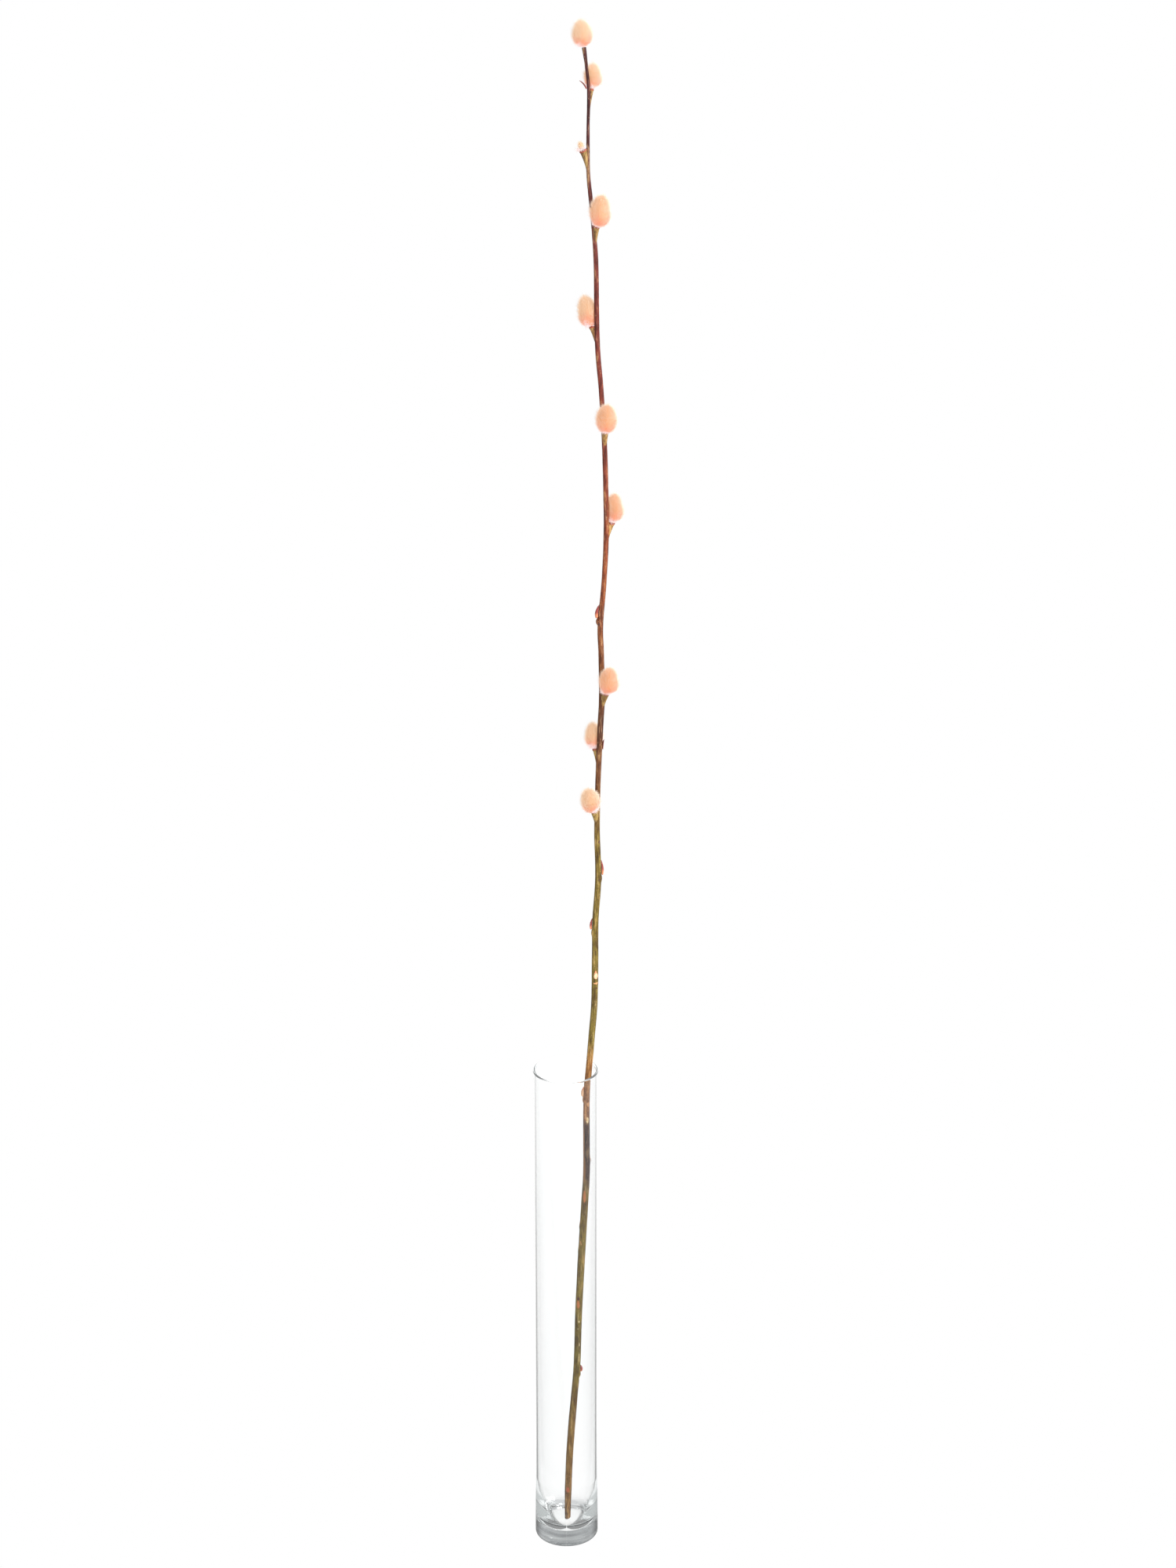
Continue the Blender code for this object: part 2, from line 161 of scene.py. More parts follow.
CATKIN_SILK_DEPTH = 2.4 * MM
CATKIN_TOP_GAP = 0.6 * MM
CATKIN_SEAT_RADIUS = 2.1 * MM
CATKIN_CLEAR_OF_STEM = 0.5 * MM
CATKIN_WIDEST_LOW = 0.82
CATKIN_FULLNESS = 0.52
MIDDLE_CLEARS_STEM = 0.10 * MM
TIP_CLEARS_STEM = 0.15 * MM

# The empty peg near the tip, with a wisp of silk left on it
STUB_HEIGHT = 1109 * MM
STUB_ANGLE = math.radians(-172)
STUB_LEAN = math.radians(24)
STUB_RADIUS = 2.6 * MM
STUB_WISP = (7.5 * MM, 5.2 * MM, 0.0)

# Buds: name, foot height in millimetres, compass angle in degrees, length, width and ledge rise
BUDS = [
    ("bud_01", 766.5, 183, 10.0, 4.2, 1.5),
    ("bud_02", 565, 5, 12.0, 3.0, 0.6),
    ("bud_03", 521, 176, 9.0, 3.0, 0.6),
    ("bud_04", 482, -80, 6.5, 3.2, 0.6),
    ("bud_05", 384, 190, 8.0, 3.4, 0.8),
    ("bud_06", 147, 0, 5.5, 3.2, 0.8),
]
BUD_DEPTH_SHARE = 0.65
BUD_SIDES = 16
BUD_RINGS = 14
PALE_BUDS = ("bud_04", "bud_05")

# Open scales: name, foot height in millimetres, compass angle and lean in degrees, length, width
SCALE_THICKNESS = 0.35 * MM
SCALES = [
    ("scale_01", 1151.5, 187, 38, 7.5, 3.2),
    ("scale_02", 664.5, 18, 6, 8.0, 3.0),
]

# Leaf scars that stand a little proud: height in millimetres and compass angle in degrees
SCARS = [(38, -92), (210, -100), (253, 130), (274, 195), (295, -112), (329, -15), (365, -75)]
SCAR_RISE = 0.35 * MM
SWELLING_LENGTH = 6 * MM
LEDGE_BELOW_FOOT = 2.6 * MM

# Bark colour up the stem: height in millimetres and colour
BARK_BANDS = [
    (13, "#7f5a30"),
    (100, "#82642c"),
    (160, "#70621e"),
    (300, "#7a6520"),
    (322, "#442a20"),
    (362, "#482c22"),
    (369, "#a06c40"),
    (408, "#9c6e3a"),
    (430, "#706122"),
    (590, "#6a5616"),
    (640, "#6c4220"),
    (690, "#522a14"),
    (715, "#6c401c"),
    (800, "#7e3c1a"),
    (920, "#722c1e"),
    (1060, "#62241e"),
    (1100, "#4c1c1c"),
    (1180, "#441418"),
]

# Marks on the bark: height, compass angle, half height and half width in millimetres, and kind
MARKS = [
    (41, -98, 3.4, 1.5, "coral"),
    (207, -105, 4.0, 1.4, "orange"),
    (212, -105, 1.6, 1.3, "dark"),
    (300, -105, 6.5, 1.3, "orange"),
    (277, 190, 4.5, 0.8, "coral"),
    (192, -80, 1.0, 0.6, "pale"),
    (186, -95, 0.6, 0.4, "pale"),
    (160, -60, 5.0, 0.4, "pale"),
    (172, -65, 2.0, 0.4, "pale"),
    (142, -20, 3.0, 1.0, "pale"),
    (344, -150, 20.0, 1.2, "peeled"),
    (322, -140, 14.0, 1.6, "peeled"),
    (365, -75, 3.0, 1.4, "pale"),
    (478, -75, 1.0, 2.3, "cream"),
    (474, -60, 1.0, 0.7, "dark"),
    (380, -170, 3.0, 1.5, "cream"),
    (378, -60, 2.0, 1.2, "cream"),
    (562, -40, 0.5, 2.6, "dark"),
    (762, -120, 2.0, 0.8, "dark"),
    (970, -30, 1.2, 0.8, "dark"),
    (834, -150, 4.0, 0.5, "dark"),
    (592, -50, 1.4, 0.8, "dark"),
]

# Curled flakes of bark: height, compass angle, length and width in millimetres
FLAKE_THICKNESS = 0.18 * MM
FLAKES = [
    (370, -118, 5.0, 1.5),
    (334, -20, 5.0, 1.3),
    (262, -130, 3.0, 1.0),
    (150, -20, 3.0, 1.1),
]
MARK_COLOURS = {
    "coral": "#a4583c",
    "orange": "#b06a3a",
    "pale": "#cdb88c",
    "cream": "#b8875c",
    "peeled": "#8a6038",
    "dark": "#4a2a20",
}

GOLDEN_ANGLE = math.pi * (3 - math.sqrt(5))
RANDOM_SEED = 11


def hex_colour(text):
    """A linear colour from its web notation."""
    parts = (int(text[i:i + 2], 16) / 255 for i in (1, 3, 5))
    return tuple(((c + 0.055) / 1.055) ** 2.4 if c > 0.04045 else c / 12.92 for c in parts)


def colour_property(name, description, text):
    return bpy.props.FloatVectorProperty(
        name=name, description=description, subtype="COLOR", size=3, min=0, max=1,
        default=hex_colour(text),
    )


def length_property(name, description, default):
    return bpy.props.FloatProperty(
        name=name, description=description, default=default, min=0, unit="LENGTH", precision=5
    )


def strength_property(name, description, default):
    return bpy.props.FloatProperty(name=name, description=description, default=default, min=0)


class VaseSettings(bpy.types.PropertyGroup):
    height: length_property("Height", "From the table to the top of the rim", 410 * MM)
    radius: length_property("Radius", "Outside radius", 25 * MM)
    wall: length_property("Wall", "Thickness of the glass wall", 2.0 * MM)
    floor: length_property("Floor", "Thickness of the glass floor", 8.2 * MM)
    heel: length_property("Heel", "Radius round the underside", 2 * MM)
    sides: bpy.props.IntProperty(
        name="Sides", description="Points round the vase", default=144, min=24, max=360
    )
    # Strengths of the painted glow (emission) on the glass, which stands in for light piped through
    # the wall
    painted_rim_glow: strength_property("Rim light", "Light piped through the wall, front and back", 0.9)
    painted_rim_glow_sides: strength_property(
        "Rim light at the sides", "Light piped through the wall, left and right", 0.12
    )
    tint: colour_property("Tint", "Light left after a long way in the glass", "#b9bdbd")
    # Painted reflections: grey bands and a dark line round the thick foot, standing in for dark
    # surroundings seen in the glass
    painted_foot_dark: colour_property("Foot, dark", "Dark layers round the thick foot", "#b6b8ba")
    painted_foot_light: colour_property("Foot, light", "Light layers round the thick foot", "#f4f6f6")
    painted_foot_line: colour_property("Foot's edge", "Line round the underside", "#989a9c")


class StemSettings(bpy.types.PropertyGroup):
    ring_spacing: length_property("Ring spacing", "Distance between rings of bark", 1.1 * MM)
    relief: length_property("Relief", "Depth of the bark's unevenness", 0.10 * MM)
    peg_colour: colour_property("Peg", "Shoulders under the catkins", "#a98f4e")
    rim_colour: colour_property("Peg rim", "Dry rim round each peg's top", "#8c3f2c")


class CatkinSettings(bpy.types.PropertyGroup):
    hairs: bpy.props.IntProperty(
        name="Hairs", description="Silk hairs on each catkin", default=8600, min=100, max=12000
    )
    hair_length: length_property("Hair length", "Usual length of a hair", 4.3 * MM)
    hair_width: length_property("Hair width", "Width of a hair near its root", 0.07 * MM)
    fluff: bpy.props.IntProperty(
        name="Fluff", description="White hairs round each catkin's foot", default=700, min=0,
        max=2000,
    )
    silk_low: colour_property("Low silk", "Silk near the foot of a catkin", "#f39c76")
    silk_high: colour_property("High silk", "Silk near the tip of a catkin", "#efc494")
    silk_ripe: colour_property("Ripe silk", "Silk near the tip of a ripe catkin", "#eba568")
    silk_tips: colour_property("Silk tips", "Ends of the hairs", "#fff0e0")
    fluff_colour: colour_property("Fluff", "Hairs round a catkin's foot", "#ffe6e4")


class BudSettings(bpy.types.PropertyGroup):
    scale_colour: colour_property("Scale", "Dry bud scales", "#7a2f26")
    bud_colour: colour_property("Bud", "Upper part of a closed bud", "#8c3b33")
    foot_colour: colour_property("Foot", "Paler foot of a closed bud", "#c27a54")
    pale_colour: colour_property("Pale bud", "Foot of a bud that has lost its skin", "#dcb08a")


class StageSettings(bpy.types.PropertyGroup):
    lens: bpy.props.FloatProperty(
        name="Lens", description="Focal length for a 36 mm tall picture", default=78.3,
        unit="CAMERA",
    )
    camera_side: length_property("Camera side", "How far right of the vase it stands", 17.2 * MM)
    camera_back: length_property("Camera back", "How far in front of the vase it stands", 2.374)
    camera_height: length_property("Camera height", "Height of the camera", 1.526)
    camera_tilt: bpy.props.FloatProperty(
        name="Camera tilt", description="How far the camera looks down",
        default=math.radians(20.395), subtype="ANGLE",
    )
    key_power: bpy.props.FloatProperty(
        name="Key light", description="Power of the soft light", default=46, min=0, unit="POWER"
    )
    floor_size: length_property("Floor size", "Width of the white floor", 60.0)
    matt_light: strength_property("Soft light", "Light from all round on bark and silk", 1.6)
    glass_light: strength_property(
        "Behind in glass", "Brightness that the glass sees behind it", 1.18
    )
    glass_sides: strength_property(
        "Sides in glass", "Brightness that the glass sees to its sides", 0.36
    )
    glass_front: strength_property("Front in glass", "Brightness that the glass sees in front", 0.4)
    glass_above: strength_property(
        "Above in glass", "Brightness that the glass sees above the horizon", 0.8
    )


# Making meshes

def start_fresh():
    """Leaves edit mode and deselects everything."""
    if bpy.context.object and bpy.context.object.mode != "OBJECT":
        bpy.ops.object.mode_set(mode="OBJECT")
    bpy.ops.object.select_all(action="DESELECT")


def edit(kind="VERT"):
    """Enters edit mode to pick vertices, edges or faces."""
    bpy.ops.object.mode_set(mode="EDIT")
    bpy.ops.mesh.select_mode(type=kind)


def face_outward():
    """In edit mode, turns every face of a closed form outward."""
    bpy.ops.mesh.select_all(action="SELECT")
    bpy.ops.mesh.normals_make_consistent(inside=False)
    if bmesh.from_edit_mesh(bpy.context.object.data).calc_volume(signed=True) < 0:
        bpy.ops.mesh.flip_normals()


def turn_outward():
    """Turns every face of the active closed form outward."""
    edit()
    face_outward()
    bpy.ops.object.mode_set(mode="OBJECT")


def apply_all(body):
    """Puts the object at the origin, unturned and unscaled, with its place in its mesh."""
    bpy.context.view_layer.objects.active = body
    body.select_set(True)
    bpy.ops.object.transform_apply(location=True, rotation=True, scale=True)


def finish_piece(body, name, nodes, finish, smooth=math.radians(50)):
    """Names a piece, gives it its finish and lets it stand for its nodes."""
    start_fresh()
    body.name = name
    body.data.name = name
    apply_all(body)
    if smooth:
        bpy.ops.object.shade_smooth_by_angle(angle=smooth)
    body.data.materials.clear()
    body.data.materials.append(finish)
    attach(body, "root")
    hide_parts(*nodes)
    return body


def apply_modifier(body, kind, **values):
    """Adds a modifier with its values and applies it."""
    modifier = body.modifiers.new(kind.title(), kind)
    for name, value in values.items():
        setattr(modifier, name, value)
    bpy.context.view_layer.objects.active = body
    body.select_set(True)
    bpy.ops.object.modifier_apply(modifier=modifier.name)


def grow(rings):
    """A closed form: a filled circle extruded ring by ring, each ring moved to its place."""
    start_fresh()
    sides = len(rings[0])
    bpy.ops.mesh.primitive_circle_add(vertices=sides, radius=1.0, fill_type="NGON")
    body = bpy.context.object
    edit("FACE")
    bpy.ops.mesh.select_all(action="SELECT")
    before = None
    for ring in rings:
        if before is not None:
            bpy.ops.mesh.extrude_region_move()
        form = bmesh.from_edit_mesh(body.data)
        chosen = [v for v in form.verts if v.select]
        if before is None:
            chosen.sort(key=lambda v: math.atan2(v.co.y, v.co.x) % math.tau)
            order = chosen
        else:
            order = [min(chosen, key=lambda v: (v.co - spot).length) for spot in before]
        for vert, spot in zip(order, ring):
            vert.co = spot
        bmesh.update_edit_mesh(body.data)
        before = ring
    face_outward()
    bpy.ops.object.mode_set(mode="OBJECT")
    return body


def join(bodies):
    start_fresh()
    for body in bodies:
        body.select_set(True)
    bpy.context.view_layer.objects.active = bodies[0]
    bpy.ops.object.join()
    return bodies[0]


def fuse(body, extras):
    """Unions solids with a body and removes them."""
    start_fresh()
    group = bpy.data.collections.new("pegs")
    bpy.context.scene.collection.children.link(group)
    for extra in extras:
        for holder in list(extra.users_collection):
            holder.objects.unlink(extra)
        group.objects.link(extra)
    apply_modifier(
        body, "BOOLEAN", operation="UNION", operand_type="COLLECTION", collection=group,
        solver="EXACT",
    )
    for extra in extras:
        bpy.data.objects.remove(extra, do_unlink=True)
    bpy.data.collections.remove(group)


def soften(points, steps):
    """A smooth line through the points, with that many steps between each two."""
    line = [points[0]]
    for index in range(len(points) - 1):
        start, end = points[index], points[index + 1]
        leave = (end - points[max(index - 1, 0)]) / 2
        arrive = (points[min(index + 2, len(points) - 1)] - start) / 2
        for step in range(1, steps + 1):
            t = step / steps
            line.append(
                start * (2 * t**3 - 3 * t**2 + 1)
                + leave * (t**3 - 2 * t**2 + t)
                + end * (3 * t**2 - 2 * t**3)
                + arrive * (t**3 - t**2)
            )
    return line


def oval(centre, across, along, sides):
    """Points round an oval with two given half axes."""
    turns = (math.tau * side / sides for side in range(sides))
    return [centre + across * math.cos(turn) + along * math.sin(turn) for turn in turns]


def set_attribute(mesh, name, values):
    """Stores a number on each point of a mesh for its finish."""
    layer = mesh.attributes.get(name) or mesh.attributes.new(name, "FLOAT", "POINT")
    layer.data.foreach_set("value", np.asarray(values, np.float32))


# The stem's course

BEND_ROWS = np.array(STEM_BENDS) * MM


def stem_values(height):
    """x, y and diameter at a height, on a smooth curve through the bends."""
    rows = BEND_ROWS
    height = min(max(height, rows[0, 0]), rows[-1, 0])
    index = min(int(np.searchsorted(rows[:, 0], height, side="left")), len(rows) - 1)
    index = max(index - 1, 0)

    def slope(at):
        before = rows[max(at - 1, 0)]
        after = rows[min(at + 1, len(rows) - 1)]
        return (after[1:] - before[1:]) / (after[0] - before[0])

    low, high = rows[index], rows[index + 1]
    span = high[0] - low[0]
    t = (height - low[0]) / span
    return (
        (2 * t**3 - 3 * t**2 + 1) * low[1:]
        + (t**3 - 2 * t**2 + t) * span * slope(index)
        + (3 * t**2 - 2 * t**3) * high[1:]
        + (t**3 - t**2) * span * slope(index + 1)
    )


def stem_centre(height):
    x, y, _ = stem_values(height)
    return Vector((x, y, height))


def stem_radius(height):
    return stem_values(height)[2] / 2


def outward(angle):
    return Vector((math.cos(angle), math.sin(angle), 0))


def swellings():
    """Height, compass angle and rise of every ledge under a bud and every leaf scar."""
    ledges = [
        (height * MM - LEDGE_BELOW_FOOT, math.radians(turn), rise * MM)
        for _, height, turn, _, _, rise in BUDS
    ]
    scars = [(height * MM, math.radians(turn), SCAR_RISE) for height, turn in SCARS]
    return ledges + scars


SWELLINGS = swellings()


def bark_radius(height, angle):
    radius = stem_radius(height)
    for centre, towards, rise in SWELLINGS:
        along = (height - centre) / (SWELLING_LENGTH / 2)
        facing = math.cos(angle - towards)
        if abs(along) < 1 and facing > 0:
            radius += rise * (1 - along**2) * facing**2
    return radius


def peg_radius(height):
    return PEG_LEAST_RADIUS + stem_radius(height) * PEG_RADIUS_SHARE


def seat(height, angle, lean, radius):
    """Middle of a peg's top, and the direction that what sits on it grows in."""
    grows = outward(angle) * math.sin(lean) + Vector((0, 0, math.cos(lean)))
    reach = stem_radius(height) + radius * PEG_STANDS_OFF
    return stem_centre(height) + outward(angle) * reach, grows


def all_pegs():
    """Height, angle, lean and radius of every peg, the stub's last."""
    pegs = [
        (height * MM, math.radians(turn), math.radians(lean), peg_radius(height * MM))
        for _, height, turn, lean, *_ in CATKINS
    ]
    return pegs + [(STUB_HEIGHT, STUB_ANGLE, STUB_LEAN, STUB_RADIUS)]


# Finishes

def new_finish(name):
    finish = bpy.data.materials.new(name)
    finish.use_nodes = True
    tree = finish.node_tree
    return finish, tree, tree.nodes["Principled BSDF"]


def add(tree, kind, **values):
    node = tree.nodes.new(kind)
    for key, value in values.items():
        setattr(node, key, value)
    return node


def link(tree, source, target):
    tree.links.new(source, target)


def own_place(tree):
    return add(tree, "ShaderNodeTexCoord").outputs["Object"]


def attribute(tree, name):
    return add(tree, "ShaderNodeAttribute", attribute_name=name).outputs["Fac"]


def axes(tree, vector):
    """The x, y and z of a vector."""
    node = add(tree, "ShaderNodeSeparateXYZ")
    link(tree, vector, node.inputs[0])
    return node.outputs


def vector_node(tree, operation, *values):
    """One step of vector arithmetic, which gives a vector, or a number for a length."""
    node = add(tree, "ShaderNodeVectorMath", operation=operation)
    for socket, value in zip(node.inputs, values):
        if isinstance(value, tuple):
            socket.default_value = value
        else:
            link(tree, value, socket)
    return node.outputs["Value" if operation == "LENGTH" else "Vector"]


def emboss(tree, shader, height, strength, depth):
    """Lets a height raise the surface by up to a depth in metres."""
    bump = add(tree, "ShaderNodeBump")
    bump.inputs["Strength"].default_value = strength
    bump.inputs["Distance"].default_value = depth
    link(tree, height, bump.inputs["Height"])
    link(tree, bump.outputs[0], shader.inputs["Normal"])


def math_node(tree, operation, first, second=None, third=None):
    node = add(tree, "ShaderNodeMath", operation=operation)
    for socket, value in zip(node.inputs, (first, second, third)):
        if value is None:
            continue
        if isinstance(value, (int, float)):
            socket.default_value = value
        else:
            link(tree, value, socket)
    return node.outputs[0]


def mix_colour(tree, mask, first, second, blend="MIX"):
    node = add(tree, "ShaderNodeMix", data_type="RGBA", blend_type=blend)
    sockets = (node.inputs[0], node.inputs[6], node.inputs[7])
    for socket, value in zip(sockets, (mask, first, second)):
        if isinstance(value, (int, float)):
            socket.default_value = value
        elif isinstance(value, tuple):
            socket.default_value = (*value, 1.0)
        else:
            link(tree, value, socket)
    return node.outputs[2]


def mix_number(tree, mask, first, second):
    """The first number where the mask is nought, the second where it is one."""
    node = add(tree, "ShaderNodeMix", data_type="FLOAT")
    link(tree, mask, node.inputs[0])
    for socket, value in zip(node.inputs[2:4], (first, second)):
        if isinstance(value, float):
            socket.default_value = value
        else:
            link(tree, value, socket)
    return node.outputs[0]


def map_range(tree, value, low, high, start=0.0, end=1.0):
    """Takes low to start and high to end, smoothly and held at both ends."""
    node = add(tree, "ShaderNodeMapRange", interpolation_type="SMOOTHSTEP")
    link(tree, value, node.inputs["Value"])
    node.inputs["From Min"].default_value = low
    node.inputs["From Max"].default_value = high
    node.inputs["To Min"].default_value = start
    node.inputs["To Max"].default_value = end
    return node.outputs["Result"]


def grain_group():
    """Grain that runs along a piece: noise with a density of its own along each axis."""
    group = bpy.data.node_groups.get("grain")
    if group:
        return group
    group = bpy.data.node_groups.new("grain", "ShaderNodeTree")
    face = group.interface
    face.new_socket("Point", in_out="INPUT", socket_type="NodeSocketVector")
    face.new_socket("Density", in_out="INPUT", socket_type="NodeSocketVector")
    face.new_socket("Detail", in_out="INPUT", socket_type="NodeSocketFloat")
    face.new_socket("Roughness", in_out="INPUT", socket_type="NodeSocketFloat")
    face.new_socket("Grain", in_out="OUTPUT", socket_type="NodeSocketFloat")
    source = group.nodes.new("NodeGroupInput")
    drain = group.nodes.new("NodeGroupOutput")
    dense = vector_node(group, "MULTIPLY", source.outputs["Point"], source.outputs["Density"])
    texture = add(group, "ShaderNodeTexNoise")
    texture.inputs["Scale"].default_value = 1.0
    link(group, dense, texture.inputs["Vector"])
    link(group, source.outputs["Detail"], texture.inputs["Detail"])
    link(group, source.outputs["Roughness"], texture.inputs["Roughness"])
    link(group, texture.outputs["Fac"], drain.inputs["Grain"])
    return group


def grain(tree, place, density, detail=3.0, roughness=0.6):
    node = add(tree, "ShaderNodeGroup", node_tree=grain_group())
    node.inputs["Density"].default_value = density
    node.inputs["Detail"].default_value = detail
    node.inputs["Roughness"].default_value = roughness
    link(tree, place, node.inputs["Point"])
    return node.outputs["Grain"]


def mark_group():
    """A soft-edged mark: one inside an ellipsoid at its place, nought outside."""
    group = bpy.data.node_groups.new("bark_mark", "ShaderNodeTree")
    face = group.interface
    face.new_socket("Point", in_out="INPUT", socket_type="NodeSocketVector")
    face.new_socket("Place", in_out="INPUT", socket_type="NodeSocketVector")
    face.new_socket("Size", in_out="INPUT", socket_type="NodeSocketVector")
    face.new_socket("Mask", in_out="OUTPUT", socket_type="NodeSocketFloat")
    source = group.nodes.new("NodeGroupInput")
    drain = group.nodes.new("NodeGroupOutput")
    away = vector_node(group, "SUBTRACT", source.outputs["Point"], source.outputs["Place"])
    scaled = vector_node(group, "DIVIDE", away, source.outputs["Size"])
    reach = vector_node(group, "LENGTH", scaled)
    link(group, map_range(group, reach, 1.0, 0.7), drain.inputs["Mask"])
    return group


def bark_finish(settings):
    """Bark in bands of colour, with streaks, pale pores, marks, and pegs with a dry rim."""
    finish, tree, shader = new_finish("willow_bark")
    place = own_place(tree)
    height = axes(tree, place)["Z"]

    waver = grain(tree, place, (220, 220, 30))
    shifted = math_node(tree, "MULTIPLY_ADD", waver, 0.030, -0.015)
    shifted = math_node(tree, "ADD", shifted, height)
    stem_top = BARK_BANDS[-1][0]
    span = math_node(tree, "DIVIDE", shifted, stem_top * MM)
    ramp = add(tree, "ShaderNodeValToRGB")
    ramp.color_ramp.elements[0].position = BARK_BANDS[0][0] / stem_top
    ramp.color_ramp.elements[0].color = (*hex_colour(BARK_BANDS[0][1]), 1)
    ramp.color_ramp.elements[1].position = 1.0
    ramp.color_ramp.elements[1].color = (*hex_colour(BARK_BANDS[-1][1]), 1)
    for level, text in BARK_BANDS[1:-1]:
        stop = ramp.color_ramp.elements.new(level / stem_top)
        stop.color = (*hex_colour(text), 1)
    link(tree, span, ramp.inputs["Fac"])
    colour = ramp.outputs["Color"]

    peg = attribute(tree, "peg")
    peg_tone = mix_colour(tree, 0.55, colour, tuple(settings.peg_colour))
    colour = mix_colour(tree, peg, colour, peg_tone)

    patches = grain(tree, place, (260, 260, 70), 3.0, 0.6)
    darker = mix_colour(tree, 1.0, colour, (0.42, 0.30, 0.24), "MULTIPLY")
    colour = mix_colour(tree, map_range(tree, patches, 0.54, 0.34, 0.0, 0.75), colour, darker)
    lighter = mix_colour(tree, 0.45, colour, (0.62, 0.40, 0.16))
    colour = mix_colour(tree, map_range(tree, patches, 0.54, 0.70, 0.0, 0.7), colour, lighter)

    streaks = grain(tree, place, (1100, 1100, 90), 4.0, 0.65)
    darker = mix_colour(tree, 1.0, colour, (0.30, 0.20, 0.17), "MULTIPLY")
    colour = mix_colour(tree, map_range(tree, streaks, 0.54, 0.34, 0.0, 0.8), colour, darker)
    lighter = mix_colour(tree, 0.5, colour, (0.85, 0.62, 0.36))
    colour = mix_colour(tree, map_range(tree, streaks, 0.56, 0.70, 0.0, 0.5), colour, lighter)

    cracks = grain(tree, place, (500, 500, 1500), 2.0, 0.5)
    crack = map_range(tree, cracks, 0.36, 0.30, 0.0, 0.6)
    colour = mix_colour(tree, crack, colour, (0.05, 0.02, 0.012))

    pores = add(tree, "ShaderNodeTexVoronoi", feature="F1")
    pores.inputs["Scale"].default_value = 1.0
    pore_map = add(tree, "ShaderNodeMapping")
    pore_map.inputs["Scale"].default_value = (620, 620, 330)
    link(tree, place, pore_map.inputs["Vector"])
    link(tree, pore_map.outputs[0], pores.inputs["Vector"])
    pore = map_range(tree, pores.outputs["Distance"], 0.20, 0.12)
    chosen = map_range(tree, grain(tree, place, (90, 90, 90), 1.0), 0.5, 0.6)
    pore = math_node(tree, "MULTIPLY", pore, chosen)
    colour = mix_colour(tree, math_node(tree, "MULTIPLY", pore, 0.35), colour, (0.55, 0.36, 0.18))

    ragged = add(tree, "ShaderNodeTexNoise")
    ragged.inputs["Scale"].default_value = 900
    link(tree, place, ragged.inputs["Vector"])
    shift = vector_node(
        tree, "MULTIPLY_ADD", ragged.outputs["Color"], (0.0012, 0.0012, 0.002),
        (-0.0006, -0.0006, -0.001),
    )
    torn = vector_node(tree, "ADD", place, shift)
    group = mark_group()
    for level, turn, tall, wide, kind in MARKS:
        angle = math.radians(turn)
        centre = stem_centre(level * MM) + outward(angle) * bark_radius(level * MM, angle)
        mark = add(tree, "ShaderNodeGroup", node_tree=group)
        mark.inputs["Place"].default_value = centre
        mark.inputs["Size"].default_value = (wide * MM, wide * MM, tall * MM)
        link(tree, torn, mark.inputs["Point"])
        colour = mix_colour(tree, mark.outputs["Mask"], colour, hex_colour(MARK_COLOURS[kind]))

    flake = attribute(tree, "flake")
    colour = mix_colour(tree, flake, colour, hex_colour(MARK_COLOURS["cream"]))
    rim = attribute(tree, "rim")
    colour = mix_colour(tree, rim, colour, tuple(settings.rim_colour))
    link(tree, colour, shader.inputs["Base Color"])

    rough = map_range(tree, streaks, 0.3, 0.7, 0.5, 0.7)
    link(tree, rough, shader.inputs["Roughness"])
    shader.inputs["Specular IOR Level"].default_value = 0.3
    relief = math_node(tree, "ADD", streaks, math_node(tree, "MULTIPLY", pore, 0.8))
    emboss(tree, shader, relief, 0.5, 0.25 * MM)
    return finish


def silk_finish(name, settings, wisp=False):
    """Silk from peach to cream at the roots and nearly white at the tips, darkened and given a
    painted glow of its own colour.
    """
    finish, tree, shader = new_finish(name)
    run = attribute(tree, "run")
    rise = attribute(tree, "rise")
    white = attribute(tree, "fluff")
    place = own_place(tree)
    patches = grain(tree, place, (260, 260, 200), 2.0)
    height = math_node(tree, "ADD", math_node(tree, "MULTIPLY_ADD", patches, 0.5, -0.25), rise)
    ripe = attribute(tree, "ripe")
    high = mix_colour(tree, ripe, tuple(settings.silk_high), tuple(settings.silk_ripe))
    low = tuple(settings.silk_tips) if wisp else tuple(settings.silk_low)
    roots = mix_colour(tree, map_range(tree, height, 0.10, 0.60), low, high)
    paler = map_range(tree, run, 0.30, 1.0, 0.0, 0.8)
    colour = mix_colour(tree, paler, roots, tuple(settings.silk_tips))
    colour = mix_colour(tree, white, colour, tuple(settings.fluff_colour))
    # Painted glow: the base colour is cut to 0.6 and the silk emits its own colour, standing in for
    # light through the silk and lightening the shade between hairs
    silk_darkened_for_glow = mix_colour(tree, 1.0, colour, (0.60, 0.60, 0.60), "MULTIPLY")
    link(tree, silk_darkened_for_glow, shader.inputs["Base Color"])
    link(tree, colour, shader.inputs["Emission Color"])
    shader.inputs["Emission Strength"].default_value = 0.36
    rough = map_range(tree, run, 0.0, 1.0, 0.75, 0.5)
    link(tree, rough, shader.inputs["Roughness"])
    shader.inputs["Specular IOR Level"].default_value = 0.3
    shader.inputs["Sheen Weight"].default_value = 0.4
    shader.inputs["Sheen Roughness"].default_value = 0.5
    shader.inputs["Subsurface Weight"].default_value = 0.25
    shader.inputs["Subsurface Radius"].default_value = (1.0, 0.8, 0.6)
    shader.inputs["Subsurface Scale"].default_value = 0.0012
    return finish


